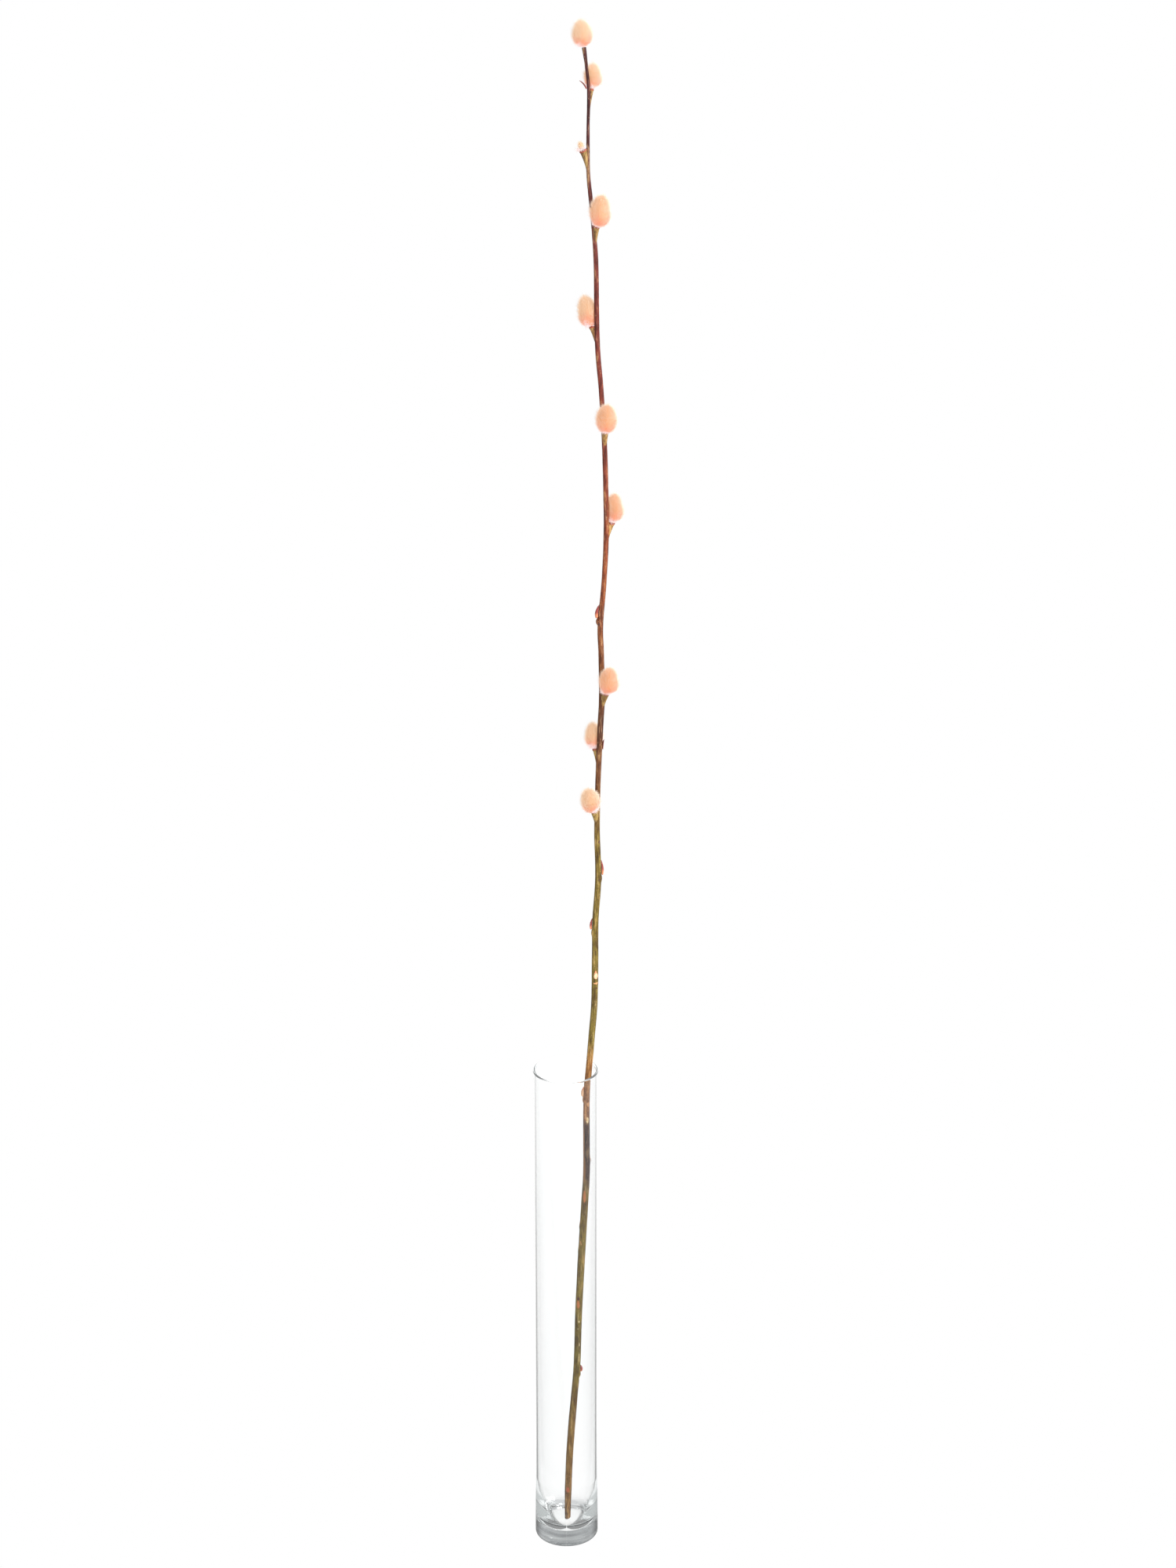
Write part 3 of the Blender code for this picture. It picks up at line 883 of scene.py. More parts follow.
def scale_finish(name, low, high, split):
    """Dry, glossy bud scale, paler at its foot, with fine lines along it."""
    finish, tree, shader = new_finish(name)
    rise = attribute(tree, "rise")
    place = own_place(tree)
    lines = grain(tree, place, (1600, 1600, 160), 3.0)
    level = math_node(tree, "ADD", rise, math_node(tree, "MULTIPLY_ADD", lines, 0.3, -0.15))
    colour = mix_colour(tree, map_range(tree, level, split - 0.15, split + 0.15), low, high)
    dark = map_range(tree, lines, 0.5, 0.3, 0.0, 0.5)
    colour = mix_colour(tree, dark, colour, (0.06, 0.015, 0.01))
    link(tree, colour, shader.inputs["Base Color"])
    link(tree, map_range(tree, lines, 0.3, 0.7, 0.28, 0.45), shader.inputs["Roughness"])
    emboss(tree, shader, lines, 0.4, 0.1 * MM)
    return finish


def glass_finish(settings):
    """Clear glass that greys a little along its edges, with faint wipe marks in its gloss, painted
    grey reflections and a painted dark line round its foot, and a painted glow inside its wall.
    """
    finish, tree, shader = new_finish("clear_glass_vase")
    place = own_place(tree)
    film = grain(tree, place, (30, 30, 9), 3.0)
    link(tree, map_range(tree, film, 0.35, 0.75, 0.0, 0.02), shader.inputs["Roughness"])
    tone = mix_colour(tree, map_range(tree, film, 0.4, 0.7), (0.985, 0.99, 0.99), CLEAR)
    layers = grain(tree, place, (22, 22, 330), 1.5, 0.5)
    parts = axes(tree, place)
    height = parts["Z"]
    reach = vector_node(tree, "LENGTH", vector_node(tree, "MULTIPLY", place, (1, 1, 0)))
    # Painted reflections: grey bands on the outer face of the thick foot, and a painted dark line
    # round the underside
    outer = map_range(tree, reach, *OUTER_FACE)
    wavy = map_range(tree, grain(tree, place, (16, 16, 260), 2.0, 0.5), 0.38, 0.62)
    grey = mix_colour(tree, wavy, tuple(settings.painted_foot_dark), tuple(settings.painted_foot_light))
    for top, colour in ((PAINTED_FOOT_TOP, grey), (PAINTED_HEEL_TOP, tuple(settings.painted_foot_line))):
        mask = math_node(tree, "MULTIPLY", outer, map_range(tree, height, *top))
        tone = mix_colour(tree, mask, tone, colour)
    link(tree, tone, shader.inputs["Base Color"])
    waves_end = map_range(tree, height, *WAVES_TOP)
    thick = math_node(tree, "MULTIPLY", waves_end, map_range(tree, height, *WAVES_FOOT))
    emboss(tree, shader, math_node(tree, "MULTIPLY", layers, thick), 0.25, 1 * MM)
    shader.inputs["Metallic"].default_value = 0.0
    shader.inputs["IOR"].default_value = GLASS_IOR
    shader.inputs["Transmission Weight"].default_value = 1.0
    # Painted glow: the glass emits light where rays are trapped, in place of light piped through
    # its wall
    glow = painted_wall_glow(tree, parts, settings)
    link(tree, glow, shader.inputs["Emission Color"])
    shader.inputs["Emission Strength"].default_value = 1.0
    absorb = add(tree, "ShaderNodeVolumeAbsorption")
    absorb.inputs["Color"].default_value = (*settings.tint, 1.0)
    absorb.inputs["Density"].default_value = GLASS_DENSITY
    link(tree, absorb.outputs[0], tree.nodes["Material Output"].inputs["Volume"])
    return finish


def painted_wall_glow(tree, parts, settings):
    """Painted glow: emission on rays that have bounced often in the glass, standing in for light
    that runs on inside the wall, brighter at the rim's front and back.
    """
    ray = add(tree, "ShaderNodeLightPath")
    often = math_node(tree, "GREATER_THAN", ray.outputs["Glossy Depth"], 3.5)
    deep = math_node(tree, "GREATER_THAN", ray.outputs["Ray Depth"], 11.5)
    trapped = math_node(tree, "MAXIMUM", often, deep)
    aside = math_node(tree, "ABSOLUTE", parts["X"])
    edge = map_range(tree, aside, *RIM_SIDES_FROM, settings.painted_rim_glow, settings.painted_rim_glow_sides)
    above_foot = map_range(tree, parts["Z"], *PAINTED_GLOW_FROM)
    level = mix_number(tree, above_foot, PAINTED_GLOW_IN_FOOT, edge)
    piped = math_node(tree, "MULTIPLY", trapped, level)
    return mix_colour(tree, piped, DARK, (0.98, 1.0, 1.0))


# Pieces

class WILLOW_OT_vase(bpy.types.Operator):
    """Tall cylinder vase of clear glass with a thick floor, a bowl-shaped inside and a round rim"""

    bl_idname = "willow.vase"
    bl_label = "Glass vase"

    def execute(self, context):
        s = context.scene.willow_vase
        start_fresh()
        profile = self.profile(s)
        bpy.ops.mesh.primitive_plane_add(size=1 * MM)
        vase = context.object
        edit()
        bpy.ops.mesh.select_all(action="SELECT")
        bpy.ops.mesh.merge(type="CENTER")
        before = Vector((0, 0, 0))
        for point in profile:
            bpy.ops.mesh.extrude_region_move(TRANSFORM_OT_translate={"value": point - before})
            before = point
        bpy.ops.mesh.select_all(action="SELECT")
        bpy.ops.mesh.spin(steps=s.sides, angle=math.tau, center=(0, 0, 0), axis=(0, 0, 1))
        bpy.ops.mesh.select_all(action="SELECT")
        bpy.ops.mesh.remove_doubles(threshold=0.01 * MM)
        face_outward()
        bpy.ops.object.mode_set(mode="OBJECT")
        finish_piece(vase, "glass_vase", ["vase"], glass_finish(s))
        self.even_out(vase)
        return {"FINISHED"}

    def profile(self, s):
        """Half outline of the glass: out from the underside, up, in and down again."""
        def quarter(centre_x, centre_z, radius, start, steps):
            turns = (start + math.pi / 2 * step / steps for step in range(steps + 1))
            return [
                Vector((centre_x + radius * math.cos(t), 0, centre_z + radius * math.sin(t)))
                for t in turns
            ]

        inside = s.radius - s.wall
        round_rim = s.wall / 2
        bowl = [
            Vector((inside - inward * MM, 0, s.floor + rise * MM)) for inward, rise in BOWL_LINE
        ]
        return (
            quarter(s.radius - s.heel, s.heel, s.heel, -math.pi / 2, 6)
            + quarter(s.radius - round_rim, s.height - round_rim, round_rim, 0, 6)
            + quarter(s.radius - round_rim, s.height - round_rim, round_rim, math.pi / 2, 6)[1:]
            + soften(bowl, 4)
            + [Vector((0, 0, s.floor))]
        )

    def even_out(self, vase):
        """Keeps the long walls' shading straight beside the small rounds at rim and heel."""
        apply_modifier(vase, "WEIGHTED_NORMAL", mode="FACE_AREA", weight=100, keep_sharp=True)


def make_peg(height, angle, lean, radius, jagged):
    """A shoulder that widens to a dry, uneven rim round a shallow cup."""
    top, grows = seat(height, angle, lean, radius)
    sideways = Vector((0, 0, 1)).cross(outward(angle))
    rings = []
    for share, width in PEG_STEPS:
        level = height - PEG_LENGTH * (1 - share)
        reach = (stem_radius(level) + radius * PEG_STANDS_OFF) * share**PEG_LEAVES_AT
        centre = stem_centre(level) + outward(angle) * reach
        tilt = lean * share
        across = outward(angle) * math.cos(tilt) - Vector((0, 0, math.sin(tilt)))
        rings.append(oval(centre, across * radius * width, sideways * radius * width, PEG_SIDES))
    across = sideways.cross(grows)
    for width, lift in PEG_CUP:
        ring = oval(top, across * radius * width, sideways * radius * width, PEG_SIDES)
        rings.append([point + grows * lift for point in ring])
    for index in range(len(PEG_STEPS) - 2, len(rings) - 2):
        for side in range(PEG_SIDES):
            wobble = noise.noise(Vector((side * 0.9, index * 0.2, height * 900)))
            tooth = max(0.0, math.sin(side * math.tau / PEG_SIDES * 3 + height * 777)) ** 4
            lift = grows * (wobble * 0.12 + tooth * jagged) * MM
            rings[index][side] = rings[index][side] + lift
    return grow(rings)


class WILLOW_OT_stem(bpy.types.Operator):
    """Bark-covered stem with its kinks, ledges, leaf scars, slanted foot and pegs"""

    bl_idname = "willow.stem"
    bl_label = "Stem"

    def execute(self, context):
        s = context.scene.willow_stem
        start_fresh()
        foot = STEM_BENDS[0][0] * MM
        top = STEM_BENDS[-1][0] * MM
        count = round((top - foot) / s.ring_spacing)
        start = foot - 1 * MM
        heights = [start + (top - start) * step / count for step in range(count + 1)]
        bpy.ops.curve.primitive_bezier_curve_add()
        stem = context.object
        stem.location = (0, 0, 0)
        stem.data.splines.clear()
        course = stem.data.splines.new("POLY")
        course.points.add(len(heights) - 1)
        for point, height in zip(course.points, heights):
            centre = stem_centre(height)
            point.co = (centre.x, centre.y, height, 1.0)
            point.radius = stem_radius(height)
        stem.data.dimensions = "3D"
        stem.data.bevel_depth = 1.0
        stem.data.bevel_resolution = 8
        stem.data.use_fill_caps = True
        bpy.ops.object.convert(target="MESH")
        stem = context.object
        self.shape_bark(stem.data, s.relief)
        apply_all(stem)

        edit()
        bpy.ops.mesh.select_all(action="SELECT")
        bpy.ops.mesh.remove_doubles(threshold=0.01 * MM)
        bpy.ops.mesh.select_all(action="SELECT")
        low_side = stem_centre(foot) - Vector((stem_radius(foot), 0, 0))
        bpy.ops.mesh.bisect(
            plane_co=low_side,
            plane_no=(math.sin(STEM_CUT_SLOPE), 0, -math.cos(STEM_CUT_SLOPE)),
            use_fill=True,
            clear_outer=True,
        )
        face_outward()
        bpy.ops.object.mode_set(mode="OBJECT")

        pegs = []
        for index, (height, angle, lean, radius) in enumerate(all_pegs()):
            jagged = 0.9 if index in RAGGED_PEGS else 0.45
            pegs.append(make_peg(height, angle, lean, radius, jagged))
        fuse(stem, pegs)
        self.mark_pegs(stem.data)
        stem = join([stem] + [self.make_flake(*flake) for flake in FLAKES])
        finish_piece(stem, "bark_stem", ["stem"], bark_finish(s), math.radians(40))
        return {"FINISHED"}

    def shape_bark(self, mesh, relief):
        """Moves each point of the tube out or in to the bark's ledges, scars and unevenness."""
        for vert in mesh.vertices:
            centre = stem_centre(vert.co.z)
            side = vert.co - centre
            if side.xy.length < 0.2 * MM:
                continue
            angle = math.atan2(side.y, side.x)
            rough = noise.noise(Vector((side.x * 700, side.y * 700, vert.co.z * 60)))
            fine = noise.noise(Vector((side.x * 1500, side.y * 1500, vert.co.z * 300)))
            radius = bark_radius(vert.co.z, angle) + relief * (rough + 0.5 * fine)
            share = side.xy.length / stem_radius(vert.co.z)
            spot = centre + outward(angle) * radius * min(1.0, share)
            vert.co = (spot.x, spot.y, vert.co.z)

    def make_flake(self, height, turn, length, width):
        """A thin strip that hangs from its top edge and curls away from the bark."""
        start_fresh()
        bpy.ops.mesh.primitive_grid_add(x_subdivisions=6, y_subdivisions=10, size=2)
        flake = bpy.context.object
        angle = math.radians(turn)
        for vert in flake.data.vertices:
            down = (1 - vert.co.y) / 2
            spread = vert.co.x * width / 2 * (1 - 0.55 * down) / stem_radius(height * MM) * MM
            way = angle + spread + down * 0.5
            level = (height - length * down) * MM
            away = bark_radius(level, way) + (0.02 + 0.9 * down**2.2) * MM
            vert.co = stem_centre(level) + outward(way) * away
        for name, value in (("rim", 0.0), ("peg", 0.0), ("flake", 1.0)):
            set_attribute(flake.data, name, np.full(len(flake.data.vertices), value))
        apply_modifier(flake, "SOLIDIFY", thickness=FLAKE_THICKNESS, offset=0)
        turn_outward()
        return flake

    def mark_pegs(self, mesh):
        """Stores where a peg and its dry rim are, for the finish."""
        peg_mask = np.zeros(len(mesh.vertices))
        rim_mask = np.zeros(len(mesh.vertices))
        pegs = all_pegs()
        for vert in mesh.vertices:
            for height, angle, lean, radius in pegs:
                if abs(vert.co.z - height) > PEG_LENGTH:
                    continue
                top, grows = seat(height, angle, lean, radius)
                side = vert.co - stem_centre(vert.co.z)
                beyond = side.xy.length - bark_radius(vert.co.z, math.atan2(side.y, side.x))
                facing = side.dot(outward(angle))
                if facing <= 0 or beyond < 0.15 * MM:
                    continue
                away = vert.co - top
                level = away.dot(grows)
                across = (away - grows * level).length
                if across > radius * 3:
                    continue
                peg_mask[vert.index] = 1.0
                if level > -PEG_RIM_DEPTH and across > radius * 0.7:
                    rim_mask[vert.index] = min(1.0, (level + PEG_RIM_DEPTH) / (0.7 * MM))
                elif level > -PEG_RIM_DEPTH:
                    rim_mask[vert.index] = 0.5
        set_attribute(mesh, "peg", peg_mask)
        set_attribute(mesh, "rim", rim_mask)
        set_attribute(mesh, "flake", np.zeros(len(mesh.vertices)))


def hair_mesh(name, roots, middles, tips, width, run_from, rise, white):
    """Mesh of three-sided hairs that taper to a point, from rows of root, middle and tip points."""
    count = len(roots)
    grows = tips - roots
    grows /= np.linalg.norm(grows, axis=1)[:, None]
    helper = np.where(np.abs(grows[:, 2:3]) < 0.8, [[0.0, 0.0, 1.0]], [[1.0, 0.0, 0.0]])
    across = np.cross(grows, helper)
    across /= np.linalg.norm(across, axis=1)[:, None]
    along = np.cross(grows, across)
    points = np.empty((count, 7, 3))
    for corner in range(3):
        turn = math.tau * corner / 3
        way = across * math.cos(turn) + along * math.sin(turn)
        points[:, corner] = roots + way * (width / 2)[:, None]
        points[:, corner + 3] = middles + way * (width * 0.36)[:, None]
    points[:, 6] = tips
    pattern = [(2, 1, 0)]
    for corner in range(3):
        after = (corner + 1) % 3
        pattern += [
            (corner, after, after + 3),
            (corner, after + 3, corner + 3),
            (corner + 3, after + 3, 6),
        ]
    pattern = np.array(pattern)
    corners = (np.arange(count)[:, None, None] * 7 + pattern[None]).reshape(-1, 3)
    mesh = bpy.data.meshes.new(name)
    mesh.vertices.add(count * 7)
    mesh.vertices.foreach_set("co", points.reshape(-1).astype(np.float32))
    mesh.loops.add(len(corners) * 3)
    mesh.loops.foreach_set("vertex_index", corners.reshape(-1).astype(np.int32))
    mesh.polygons.add(len(corners))
    mesh.polygons.foreach_set("loop_start", np.arange(0, len(corners) * 3, 3, dtype=np.int32))
    mesh.update(calc_edges=True)
    mesh.validate()
    along_hair = [run_from] * 3 + [run_from + (1 - run_from) * 0.5] * 3 + [1.0]
    run = np.repeat([along_hair], count, axis=0)
    set_attribute(mesh, "run", run.reshape(-1))
    set_attribute(mesh, "rise", np.repeat(rise, 7))
    set_attribute(mesh, "fluff", np.repeat(white, 7))
    mesh.shade_smooth()
    body = bpy.data.objects.new(name, mesh)
    bpy.context.scene.collection.objects.link(body)
    return body


class CatkinForm:
    """The egg of one catkin in its own frame: it grows along Z from its seat at the origin, and
    bulges away from the stem, which lies towards -X."""

    def __init__(self, length, width, silk_depth, stem_face):
        self.core_length = length - silk_depth
        self.core_radius = width / 2 - silk_depth
        self.seat_radius = min(CATKIN_SEAT_RADIUS, self.core_radius * 0.8)
        self.stem_face = stem_face

    def girth(self, t):
        t = min(max(t, 0.0), 1.0)
        egg = self.core_radius * math.sin(math.pi * t**CATKIN_WIDEST_LOW) ** CATKIN_FULLNESS
        return max(egg, self.seat_radius * (1 - t))

    def middle(self, t):
        level = self.core_length * t
        bulge = max(0.0, self.stem_face(level) + CATKIN_CLEAR_OF_STEM + self.girth(t))
        return Vector((bulge, 0, level))

    def surface(self, t, turn):
        return self.middle(t) + outward(turn) * self.girth(t)


def make_core(form):
    """A ball drawn out to the catkin's egg."""
    start_fresh()
    bpy.ops.mesh.primitive_uv_sphere_add(segments=28, ring_count=20, radius=1.0)
    core = bpy.context.object
    for vert in core.data.vertices:
        t = (vert.co.z + 1) / 2
        turn = math.atan2(vert.co.y, vert.co.x)
        share = min(1.0, vert.co.xy.length * 50)
        middle = form.middle(t)
        scales = 0.12 * MM * noise.noise(Vector((turn * 3, t * 14, 3.1)))
        rim = outward(turn) * (form.girth(t) + scales) * share
        vert.co = middle + rim
    set_attribute(core.data, "run", np.zeros(len(core.data.vertices)))
    rise = [v.co.z / form.core_length for v in core.data.vertices]
    set_attribute(core.data, "rise", rise)
    set_attribute(core.data, "fluff", np.zeros(len(core.data.vertices)))
    return core


def silk_hairs(form, s, count, draw, length_share, tangle):
    """Hairs over the whole egg: short at the foot, long and upright towards the tip."""
    shares = np.linspace(0.02, 0.995, 240)
    girths = np.array([form.girth(t) for t in shares])
    steps = np.diff(shares, prepend=shares[0])
    slopes = np.gradient(girths, shares)
    area = girths * np.hypot(form.core_length, slopes) * steps
    spread = np.cumsum(area + area.max() * 0.05)
    spread = (spread - spread[0]) / (spread[-1] - spread[0])
    roots = np.empty((count, 3))
    middles = np.empty((count, 3))
    tips = np.empty((count, 3))
    rise = np.empty(count)
    white = np.empty(count)
    clumps = draw.uniform(0, 9)
    step = 0.006
    for index in range(count):
        t = float(np.interp((index + draw.random()) / count, spread, shares))
        turn = index * GOLDEN_ANGLE + draw.uniform(-0.1, 0.1)
        start = form.surface(t, turn)
        up = form.surface(min(t + step, 1.0), turn) - form.surface(max(t - step, 0.0), turn)
        round_way = form.surface(t, turn + 0.02) - form.surface(t, turn - 0.02)
        if round_way.length < 1e-7 or up.length < 1e-7:
            normal = Vector((0, 0, 1))
            up = Vector((0, 0, 1))
        else:
            normal = round_way.cross(up).normalized()
            up.normalize()
        upright = min(1.0, t / 0.3)
        comb = 0.25 + 0.35 * upright
        jitter = Vector(draw.normal(0, 0.22 + tangle, 3))
        grows = (normal + up * comb + jitter).normalized()
        later = (grows + up * 0.3 + Vector(draw.normal(0, 0.15 + tangle, 3))).normalized()
        short_at_foot = 0.40 + 0.60 * min(1.0, t / 0.35)
        reach = s.hair_length * length_share * short_at_foot * draw.uniform(0.55, 1.12)
        if draw.random() < 0.12:
            reach *= 1.25
        root = start - normal * 0.25 * MM
        middle = start + grows * reach * 0.45
        tip = middle + later * reach * 0.55
        roots[index] = root
        middles[index] = middle
        tips[index] = tip
        rise[index] = min(1.0, max(0.0, start.z / form.core_length))
        patch = noise.noise(Vector((math.cos(turn) * 1.3, math.sin(turn) * 1.3, clumps)))
        white[index] = min(1.0, max(0.0, (0.17 + 0.16 * patch - t) / 0.05))
    clear_of_stem(form, middles, MIDDLE_CLEARS_STEM)
    clear_of_stem(form, tips, TIP_CLEARS_STEM)
    for row in (roots, middles, tips):
        row[:, 2] = np.maximum(row[:, 2], 0.15 * MM)
    width = s.hair_width * draw.uniform(0.7, 1.2, count)
    return roots, middles, tips, width, rise, white


def clear_of_stem(form, points, gap):
    """Presses points that would run into the stem flat against its near side."""
    for row in points:
        face = form.stem_face(float(row[2])) + gap
        if row[0] < face and abs(row[1]) < 4 * MM:
            row[0] = face


def fluff_hairs(form, s, count, draw, seat_radius):
    """White hairs in a few clumps that spill over the rim of the peg."""
    clumps = draw.uniform(0, math.tau, 6)
    roots = np.empty((count, 3))
    middles = np.empty((count, 3))
    tips = np.empty((count, 3))
    for index in range(count):
        turn = clumps[index % len(clumps)] + draw.normal(0, 0.28)
        away = outward(turn)
        root = away * seat_radius * draw.uniform(0.7, 1.15)
        root = root + Vector((0, 0, draw.uniform(0.2, 1.6) * MM))
        reach = draw.uniform(1.4, 4.2) * MM
        lift = draw.uniform(-0.25, 1.1)
        grows = (away + Vector((0, 0, lift)) + Vector(draw.normal(0, 0.25, 3))).normalized()
        later = (grows + Vector((0, 0, draw.uniform(-0.9, 0.7)))).normalized()
        middle = root + grows * reach * 0.5
        roots[index] = root
        middles[index] = middle
        tips[index] = middle + later * reach * 0.5
    clear_of_stem(form, middles, MIDDLE_CLEARS_STEM)
    clear_of_stem(form, tips, TIP_CLEARS_STEM)
    width = s.hair_width * 1.5 * draw.uniform(0.7, 1.3, count)
    return roots, middles, tips, width


def moved(points, matrix):
    """Rows of points taken through a matrix."""
    turn = np.array(matrix.to_3x3())
    return points @ turn.T + np.array(matrix.translation)


def make_catkin(
    name, node, base, angle, lean, length, width, ripe, stem_face, seat_radius, s, draw, finish
):
    """Core, silk and fluff of one catkin, joined and stood on its seat."""
    silk_depth = min(CATKIN_SILK_DEPTH, width / 4)
    form = CatkinForm(length - CATKIN_TOP_GAP, width, silk_depth, stem_face)
    place = Matrix.Translation(base) @ Euler((0, lean, angle)).to_matrix().to_4x4()
    core = make_core(form)
    core.data.transform(place)
    share = silk_depth / CATKIN_SILK_DEPTH
    usual_width, usual_length = CATKIN_USUAL_SIZE
    hairs = round(s.hairs * min(1.0, (width * length) / (usual_width * usual_length)))
    *rows, thick, rise, white = silk_hairs(form, s, hairs, draw, share, 0.5 * (1 - share))
    silk = hair_mesh("silk", *[moved(r, place) for r in rows], thick, 0.0, rise, white)
    fluff = max(60, round(s.fluff * share * min(1.0, seat_radius / STUB_RADIUS)))
    *rows, thick = fluff_hairs(form, s, fluff, draw, seat_radius)
    foot = hair_mesh(
        "foot", *[moved(r, place) for r in rows], thick, 0.2, np.zeros(fluff), np.ones(fluff)
    )
    body = join([core, silk, foot])
    set_attribute(body.data, "ripe", np.full(len(body.data.vertices), ripe))
    return finish_piece(body, name, [node], finish, None)


def beside_stem(base, grows, angle, lean):
    """A function of local height: local X of the stem's near side."""
    def stem_face(level):
        point = base + grows * level
        away = (point - stem_centre(point.z)).dot(outward(angle))
        return (stem_radius(point.z) - away) / math.cos(lean)
    return stem_face


class WILLOW_OT_catkins(bpy.types.Operator):
    """Nine silky catkins on their pegs, and the wisp of silk left on the empty peg"""

    bl_idname = "willow.catkins"
    bl_label = "Catkins"

    def execute(self, context):
        s = context.scene.willow_catkins
        draw = np.random.default_rng(RANDOM_SEED)
        finish = silk_finish("catkin_silk_fine", s)
        for node, height, turn, lean, length, width, ripe in CATKINS:
            angle = math.radians(turn)
            tilt = math.radians(lean)
            radius = peg_radius(height * MM)
            top, grows = seat(height * MM, angle, tilt, radius)
            base = top + grows * SEAT_GAP
            face = beside_stem(base, grows, angle, tilt)
            make_catkin(
                "silky_" + node, node, base, angle, tilt, length * MM, width * MM, ripe, face,
                radius, s, draw, finish,
            )
        node, height, turn, lean, length, width, ripe = TIP_CATKIN
        base = stem_centre(height * MM) + Vector((0, 0, TIP_CATKIN_GAP))
        make_catkin(
            "silky_" + node, node, base, math.radians(turn), math.radians(lean), length * MM,
            width * MM, ripe, lambda level: -length * MM, 1.6 * MM, s, draw, finish,
        )
        top, grows = seat(STUB_HEIGHT, STUB_ANGLE, STUB_LEAN, STUB_RADIUS)
        base = top + grows * SEAT_GAP
        face = beside_stem(base, grows, STUB_ANGLE, STUB_LEAN)
        make_catkin(
            "silky_wisp", "silk_wisp", base, STUB_ANGLE, STUB_LEAN, *STUB_WISP, face,
            STUB_RADIUS, s, draw, silk_finish("wisp_silk", s, wisp=True),
        )
        return {"FINISHED"}


class WILLOW_OT_buds(bpy.types.Operator):
    """Closed buds that lie flat along the bark, pointed at the tip"""

    bl_idname = "willow.buds"
    bl_label = "Buds"

    def execute(self, context):
        s = context.scene.willow_buds
        finish = scale_finish("bud_skin", tuple(s.foot_colour), tuple(s.bud_colour), 0.35)
        pale = scale_finish("pale_bud_skin", tuple(s.pale_colour), tuple(s.foot_colour), 0.7)
        for node, height, turn, length, width, _ in BUDS:
            body = self.make_bud(height * MM, math.radians(turn), length * MM, width * MM)
            rise = [(v.co.z / MM - height) / length for v in body.data.vertices]
            set_attribute(body.data, "rise", rise)
            finish_piece(
                body, "closed_" + node, [node], pale if node in PALE_BUDS else finish
            )
        return {"FINISHED"}

    def make_bud(self, height, angle, length, width):
        sideways = Vector((0, 0, 1)).cross(outward(angle))
        depth = width * BUD_DEPTH_SHARE
        rings = []
        for step in range(BUD_RINGS):
            share = step / (BUD_RINGS - 1)
            egg = math.sin(math.pi * (0.12 + 0.88 * share) ** 0.8) ** 0.9
            size = max(0.12, 0.12 + 0.88 * egg)
            level = height + length * share
            flat_back = bark_radius(level, angle) + BARK_GAP + depth * size / 2
            centre = stem_centre(level) + outward(angle) * flat_back
            ring = []
            for side in range(BUD_SIDES):
                turn = math.tau * side / BUD_SIDES
                fold = 1 - 0.10 * max(0.0, math.cos(turn)) ** 24 * min(1, share * 4)
                spot = centre + outward(angle) * depth * size / 2 * math.cos(turn) * fold
                ring.append(spot + sideways * width * size / 2 * math.sin(turn))
            rings.append(ring)
        body = grow(rings)
        apply_modifier(body, "SUBSURF", levels=1, render_levels=1)
        return body


class WILLOW_OT_scales(bpy.types.Operator):
    """Thin, cupped bud scales that stand open beside two catkins"""

    bl_idname = "willow.scales"
    bl_label = "Open scales"

    def execute(self, context):
        s = context.scene.willow_buds
        finish = scale_finish("open_scale_skin", tuple(s.bud_colour), tuple(s.scale_colour), 0.3)
        for node, height, turn, lean, length, width in SCALES:
            body = self.make_scale(
                height * MM, math.radians(turn), math.radians(lean), length * MM, width * MM
            )
            finish_piece(body, "open_" + node, [node], finish)
        return {"FINISHED"}

    def make_scale(self, height, angle, lean, length, width):
        """A grid bent to a boat and given its thickness."""
        start_fresh()
        bpy.ops.mesh.primitive_grid_add(x_subdivisions=10, y_subdivisions=16, size=2)
        body = bpy.context.object
        sideways = Vector((0, 0, 1)).cross(outward(angle))
        clear = 0.1 * MM + SCALE_THICKNESS + width * 0.5 / 6
        foot = stem_centre(height) + outward(angle) * (bark_radius(height, angle) + clear)
        rise = []
        for vert in body.data.vertices:
            across_share = vert.co.x
            share = (vert.co.y + 1) / 2
            tilt = lean * (0.6 + 0.4 * share)
            grows = outward(angle) * math.sin(tilt) + Vector((0, 0, math.cos(tilt)))
            across = sideways.cross(grows)
            leaf = math.sin(math.pi * (0.25 + 0.75 * share)) ** 0.8 if share < 1 else 0.0
            half = width / 2 * max(0.06, leaf)
            cup = half * 0.5 * across_share**2
            vert.co = foot + grows * length * share + sideways * half * across_share - across * cup
            rise.append(share)
        set_attribute(body.data, "rise", rise)
        apply_modifier(body, "SOLIDIFY", thickness=SCALE_THICKNESS, offset=0)
        apply_modifier(body, "SUBSURF", levels=1, render_levels=1)
        turn_outward()
        return body


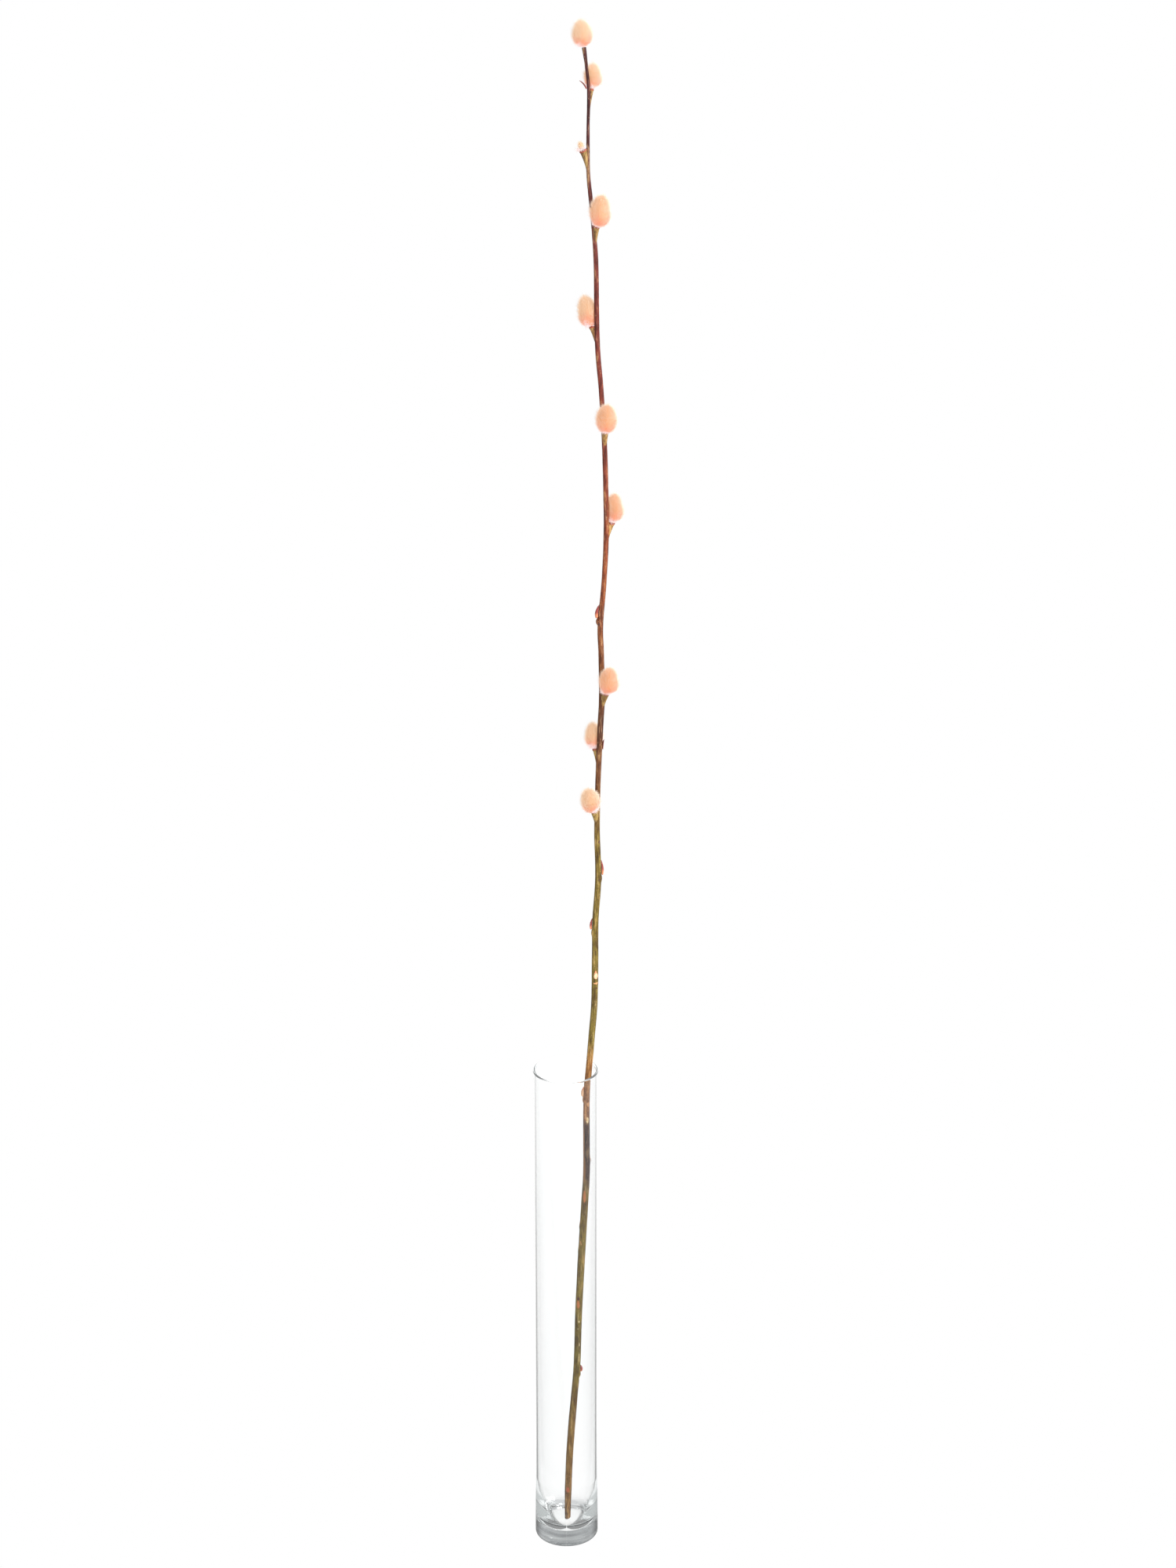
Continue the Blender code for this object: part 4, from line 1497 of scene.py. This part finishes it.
class WILLOW_OT_stage(bpy.types.Operator):
    """White floor, soft studio light and the camera"""

    bl_idname = "willow.stage"
    bl_label = "Stage"

    def execute(self, context):
        s = context.scene.willow_stage
        start_fresh()
        bpy.ops.mesh.primitive_plane_add(size=s.floor_size, location=(0, 0, -0.5 * MM))
        floor = context.object
        floor.name = "white_floor"
        apply_all(floor)
        floor.data.materials.append(self.floor_finish(s))
        self.make_world(context.scene, s)
        self.make_key(s)
        self.make_camera(context.scene, s)
        context.scene.view_settings.view_transform = "Standard"
        return {"FINISHED"}

    def floor_finish(self, s):
        """White where it is looked at, dimmer to the sides as the glass sees it, and a strong soft
        light from below for bark and silk."""
        finish, tree, shader = new_finish("white_sweep")
        shader.inputs["Base Color"].default_value = (0, 0, 0, 1)
        shader.inputs["Roughness"].default_value = 1.0
        shader.inputs["Specular IOR Level"].default_value = 0.0
        shader.inputs["Emission Color"].default_value = (1, 1, 1, 1)
        place = own_place(tree)
        parts = axes(tree, place)
        aside = math_node(tree, "ABSOLUTE", parts["X"])
        past_front = math_node(tree, "ADD", parts["Y"], 22 * MM)
        behind = math_node(tree, "MAXIMUM", past_front, 1 * MM)
        bearing = math_node(tree, "DIVIDE", aside, behind)
        reach = vector_node(tree, "LENGTH", place)
        far = map_range(tree, reach, 0.1, 1.1, s.glass_sides, 0.85)
        in_glass = mix_number(tree, map_range(tree, bearing, 0.45, 0.75), s.glass_light, far)
        self.split_by_ray(tree, in_glass, s.matt_light, shader.inputs["Emission Strength"])
        return finish

    def split_by_ray(self, tree, in_glass, matt_light, target):
        """One for the camera, a strength of its own for matt surfaces, and another in glass."""
        ray = add(tree, "ShaderNodeLightPath")
        matt = math_node(tree, "MINIMUM", ray.outputs["Diffuse Depth"], 1.0)
        level = mix_number(tree, matt, in_glass, matt_light)
        link(tree, mix_number(tree, ray.outputs["Is Camera Ray"], level, 1.0), target)

    def make_world(self, scene, s):
        """White where it is looked at. The glass sees it darker at the sides, in front and in bands
        above the horizon. Bark and silk get more light from the right and the front."""
        world = bpy.data.worlds.new("studio")
        world.use_nodes = True
        tree = world.node_tree
        shade = tree.nodes["Background"]
        place = add(tree, "ShaderNodeTexCoord").outputs["Generated"]
        parts = axes(tree, place)
        aside = math_node(tree, "ABSOLUTE", parts["X"])
        in_glass = map_range(tree, aside, 0.55, 0.9, s.glass_light, s.glass_sides)
        front = map_range(tree, parts["Y"], -0.7, -0.1, s.glass_front, 1.0)
        in_glass = math_node(tree, "MULTIPLY", in_glass, front)
        bands = grain(tree, place, (2.5, 2.5, 26), 2.0, 0.5)
        dim = map_range(tree, bands, 0.35, 0.65, s.glass_above, 0.95)
        above = mix_number(tree, map_range(tree, parts["Z"], 0.02, 0.12), 1.0, dim)
        in_glass = math_node(tree, "MULTIPLY", in_glass, above)
        across = map_range(tree, parts["X"], -0.9, 0.8, 0.25, 1.6)
        along = map_range(tree, parts["Y"], -0.6, 0.6, 1.5, 0.35)
        matt_light = math_node(tree, "MULTIPLY", across, along)
        matt_light = math_node(tree, "MULTIPLY", matt_light, s.matt_light)
        shade.inputs["Color"].default_value = (1, 1, 1, 1)
        self.split_by_ray(tree, in_glass, matt_light, shade.inputs["Strength"])
        scene.world = world

    def make_key(self, s):
        bpy.ops.object.light_add(type="AREA", location=(1.7, -1.7, 1.9))
        key = bpy.context.object
        key.name = "soft_key"
        key.data.shape = "RECTANGLE"
        key.data.size = 1.1
        key.data.size_y = 1.6
        key.data.energy = s.key_power
        towards = Vector((0.02, 0.02, 0.7)) - key.location
        key.rotation_euler = towards.to_track_quat("-Z", "Y").to_euler()

    def make_camera(self, scene, s):
        bpy.ops.object.camera_add(
            location=(s.camera_side, -s.camera_back, s.camera_height),
            rotation=(math.pi / 2 - s.camera_tilt, 0, 0),
        )
        camera = bpy.context.object
        camera.name = "front_camera"
        camera.data.sensor_width = 36
        camera.data.lens = s.lens
        camera.data.clip_end = 200
        scene.camera = camera


class WILLOW_PT_panel(bpy.types.Panel):
    """Sizes and steps of the willow stem"""

    bl_idname = "WILLOW_PT_panel"
    bl_label = "Willow stem"
    bl_space_type = "VIEW_3D"
    bl_region_type = "UI"
    bl_category = "Willow"

    def draw(self, context):
        for group, operator in STEPS:
            box = self.layout.box()
            settings = getattr(context.scene, group)
            for name in settings.__annotations__:
                box.prop(settings, name)
            box.operator(operator.bl_idname)


SETTINGS = {
    "willow_vase": VaseSettings,
    "willow_stem": StemSettings,
    "willow_catkins": CatkinSettings,
    "willow_buds": BudSettings,
    "willow_stage": StageSettings,
}
STEPS = [
    ("willow_vase", WILLOW_OT_vase),
    ("willow_stem", WILLOW_OT_stem),
    ("willow_catkins", WILLOW_OT_catkins),
    ("willow_buds", WILLOW_OT_buds),
    ("willow_buds", WILLOW_OT_scales),
    ("willow_stage", WILLOW_OT_stage),
]
OPERATORS = [operator for _, operator in STEPS]


def register():
    for group in SETTINGS.values():
        bpy.utils.register_class(group)
    for name, group in SETTINGS.items():
        setattr(bpy.types.Scene, name, bpy.props.PointerProperty(type=group))
    for operator in OPERATORS:
        bpy.utils.register_class(operator)
    bpy.utils.register_class(WILLOW_PT_panel)


def unregister():
    bpy.utils.unregister_class(WILLOW_PT_panel)
    for operator in reversed(OPERATORS):
        bpy.utils.unregister_class(operator)
    for name in SETTINGS:
        delattr(bpy.types.Scene, name)
    for group in reversed(list(SETTINGS.values())):
        bpy.utils.unregister_class(group)


def main():
    register()
    bpy.ops.willow.vase()
    bpy.ops.willow.stem()
    bpy.ops.willow.catkins()
    bpy.ops.willow.buds()
    bpy.ops.willow.scales()
    bpy.ops.willow.stage()


if __name__ == "__main__":
    main()
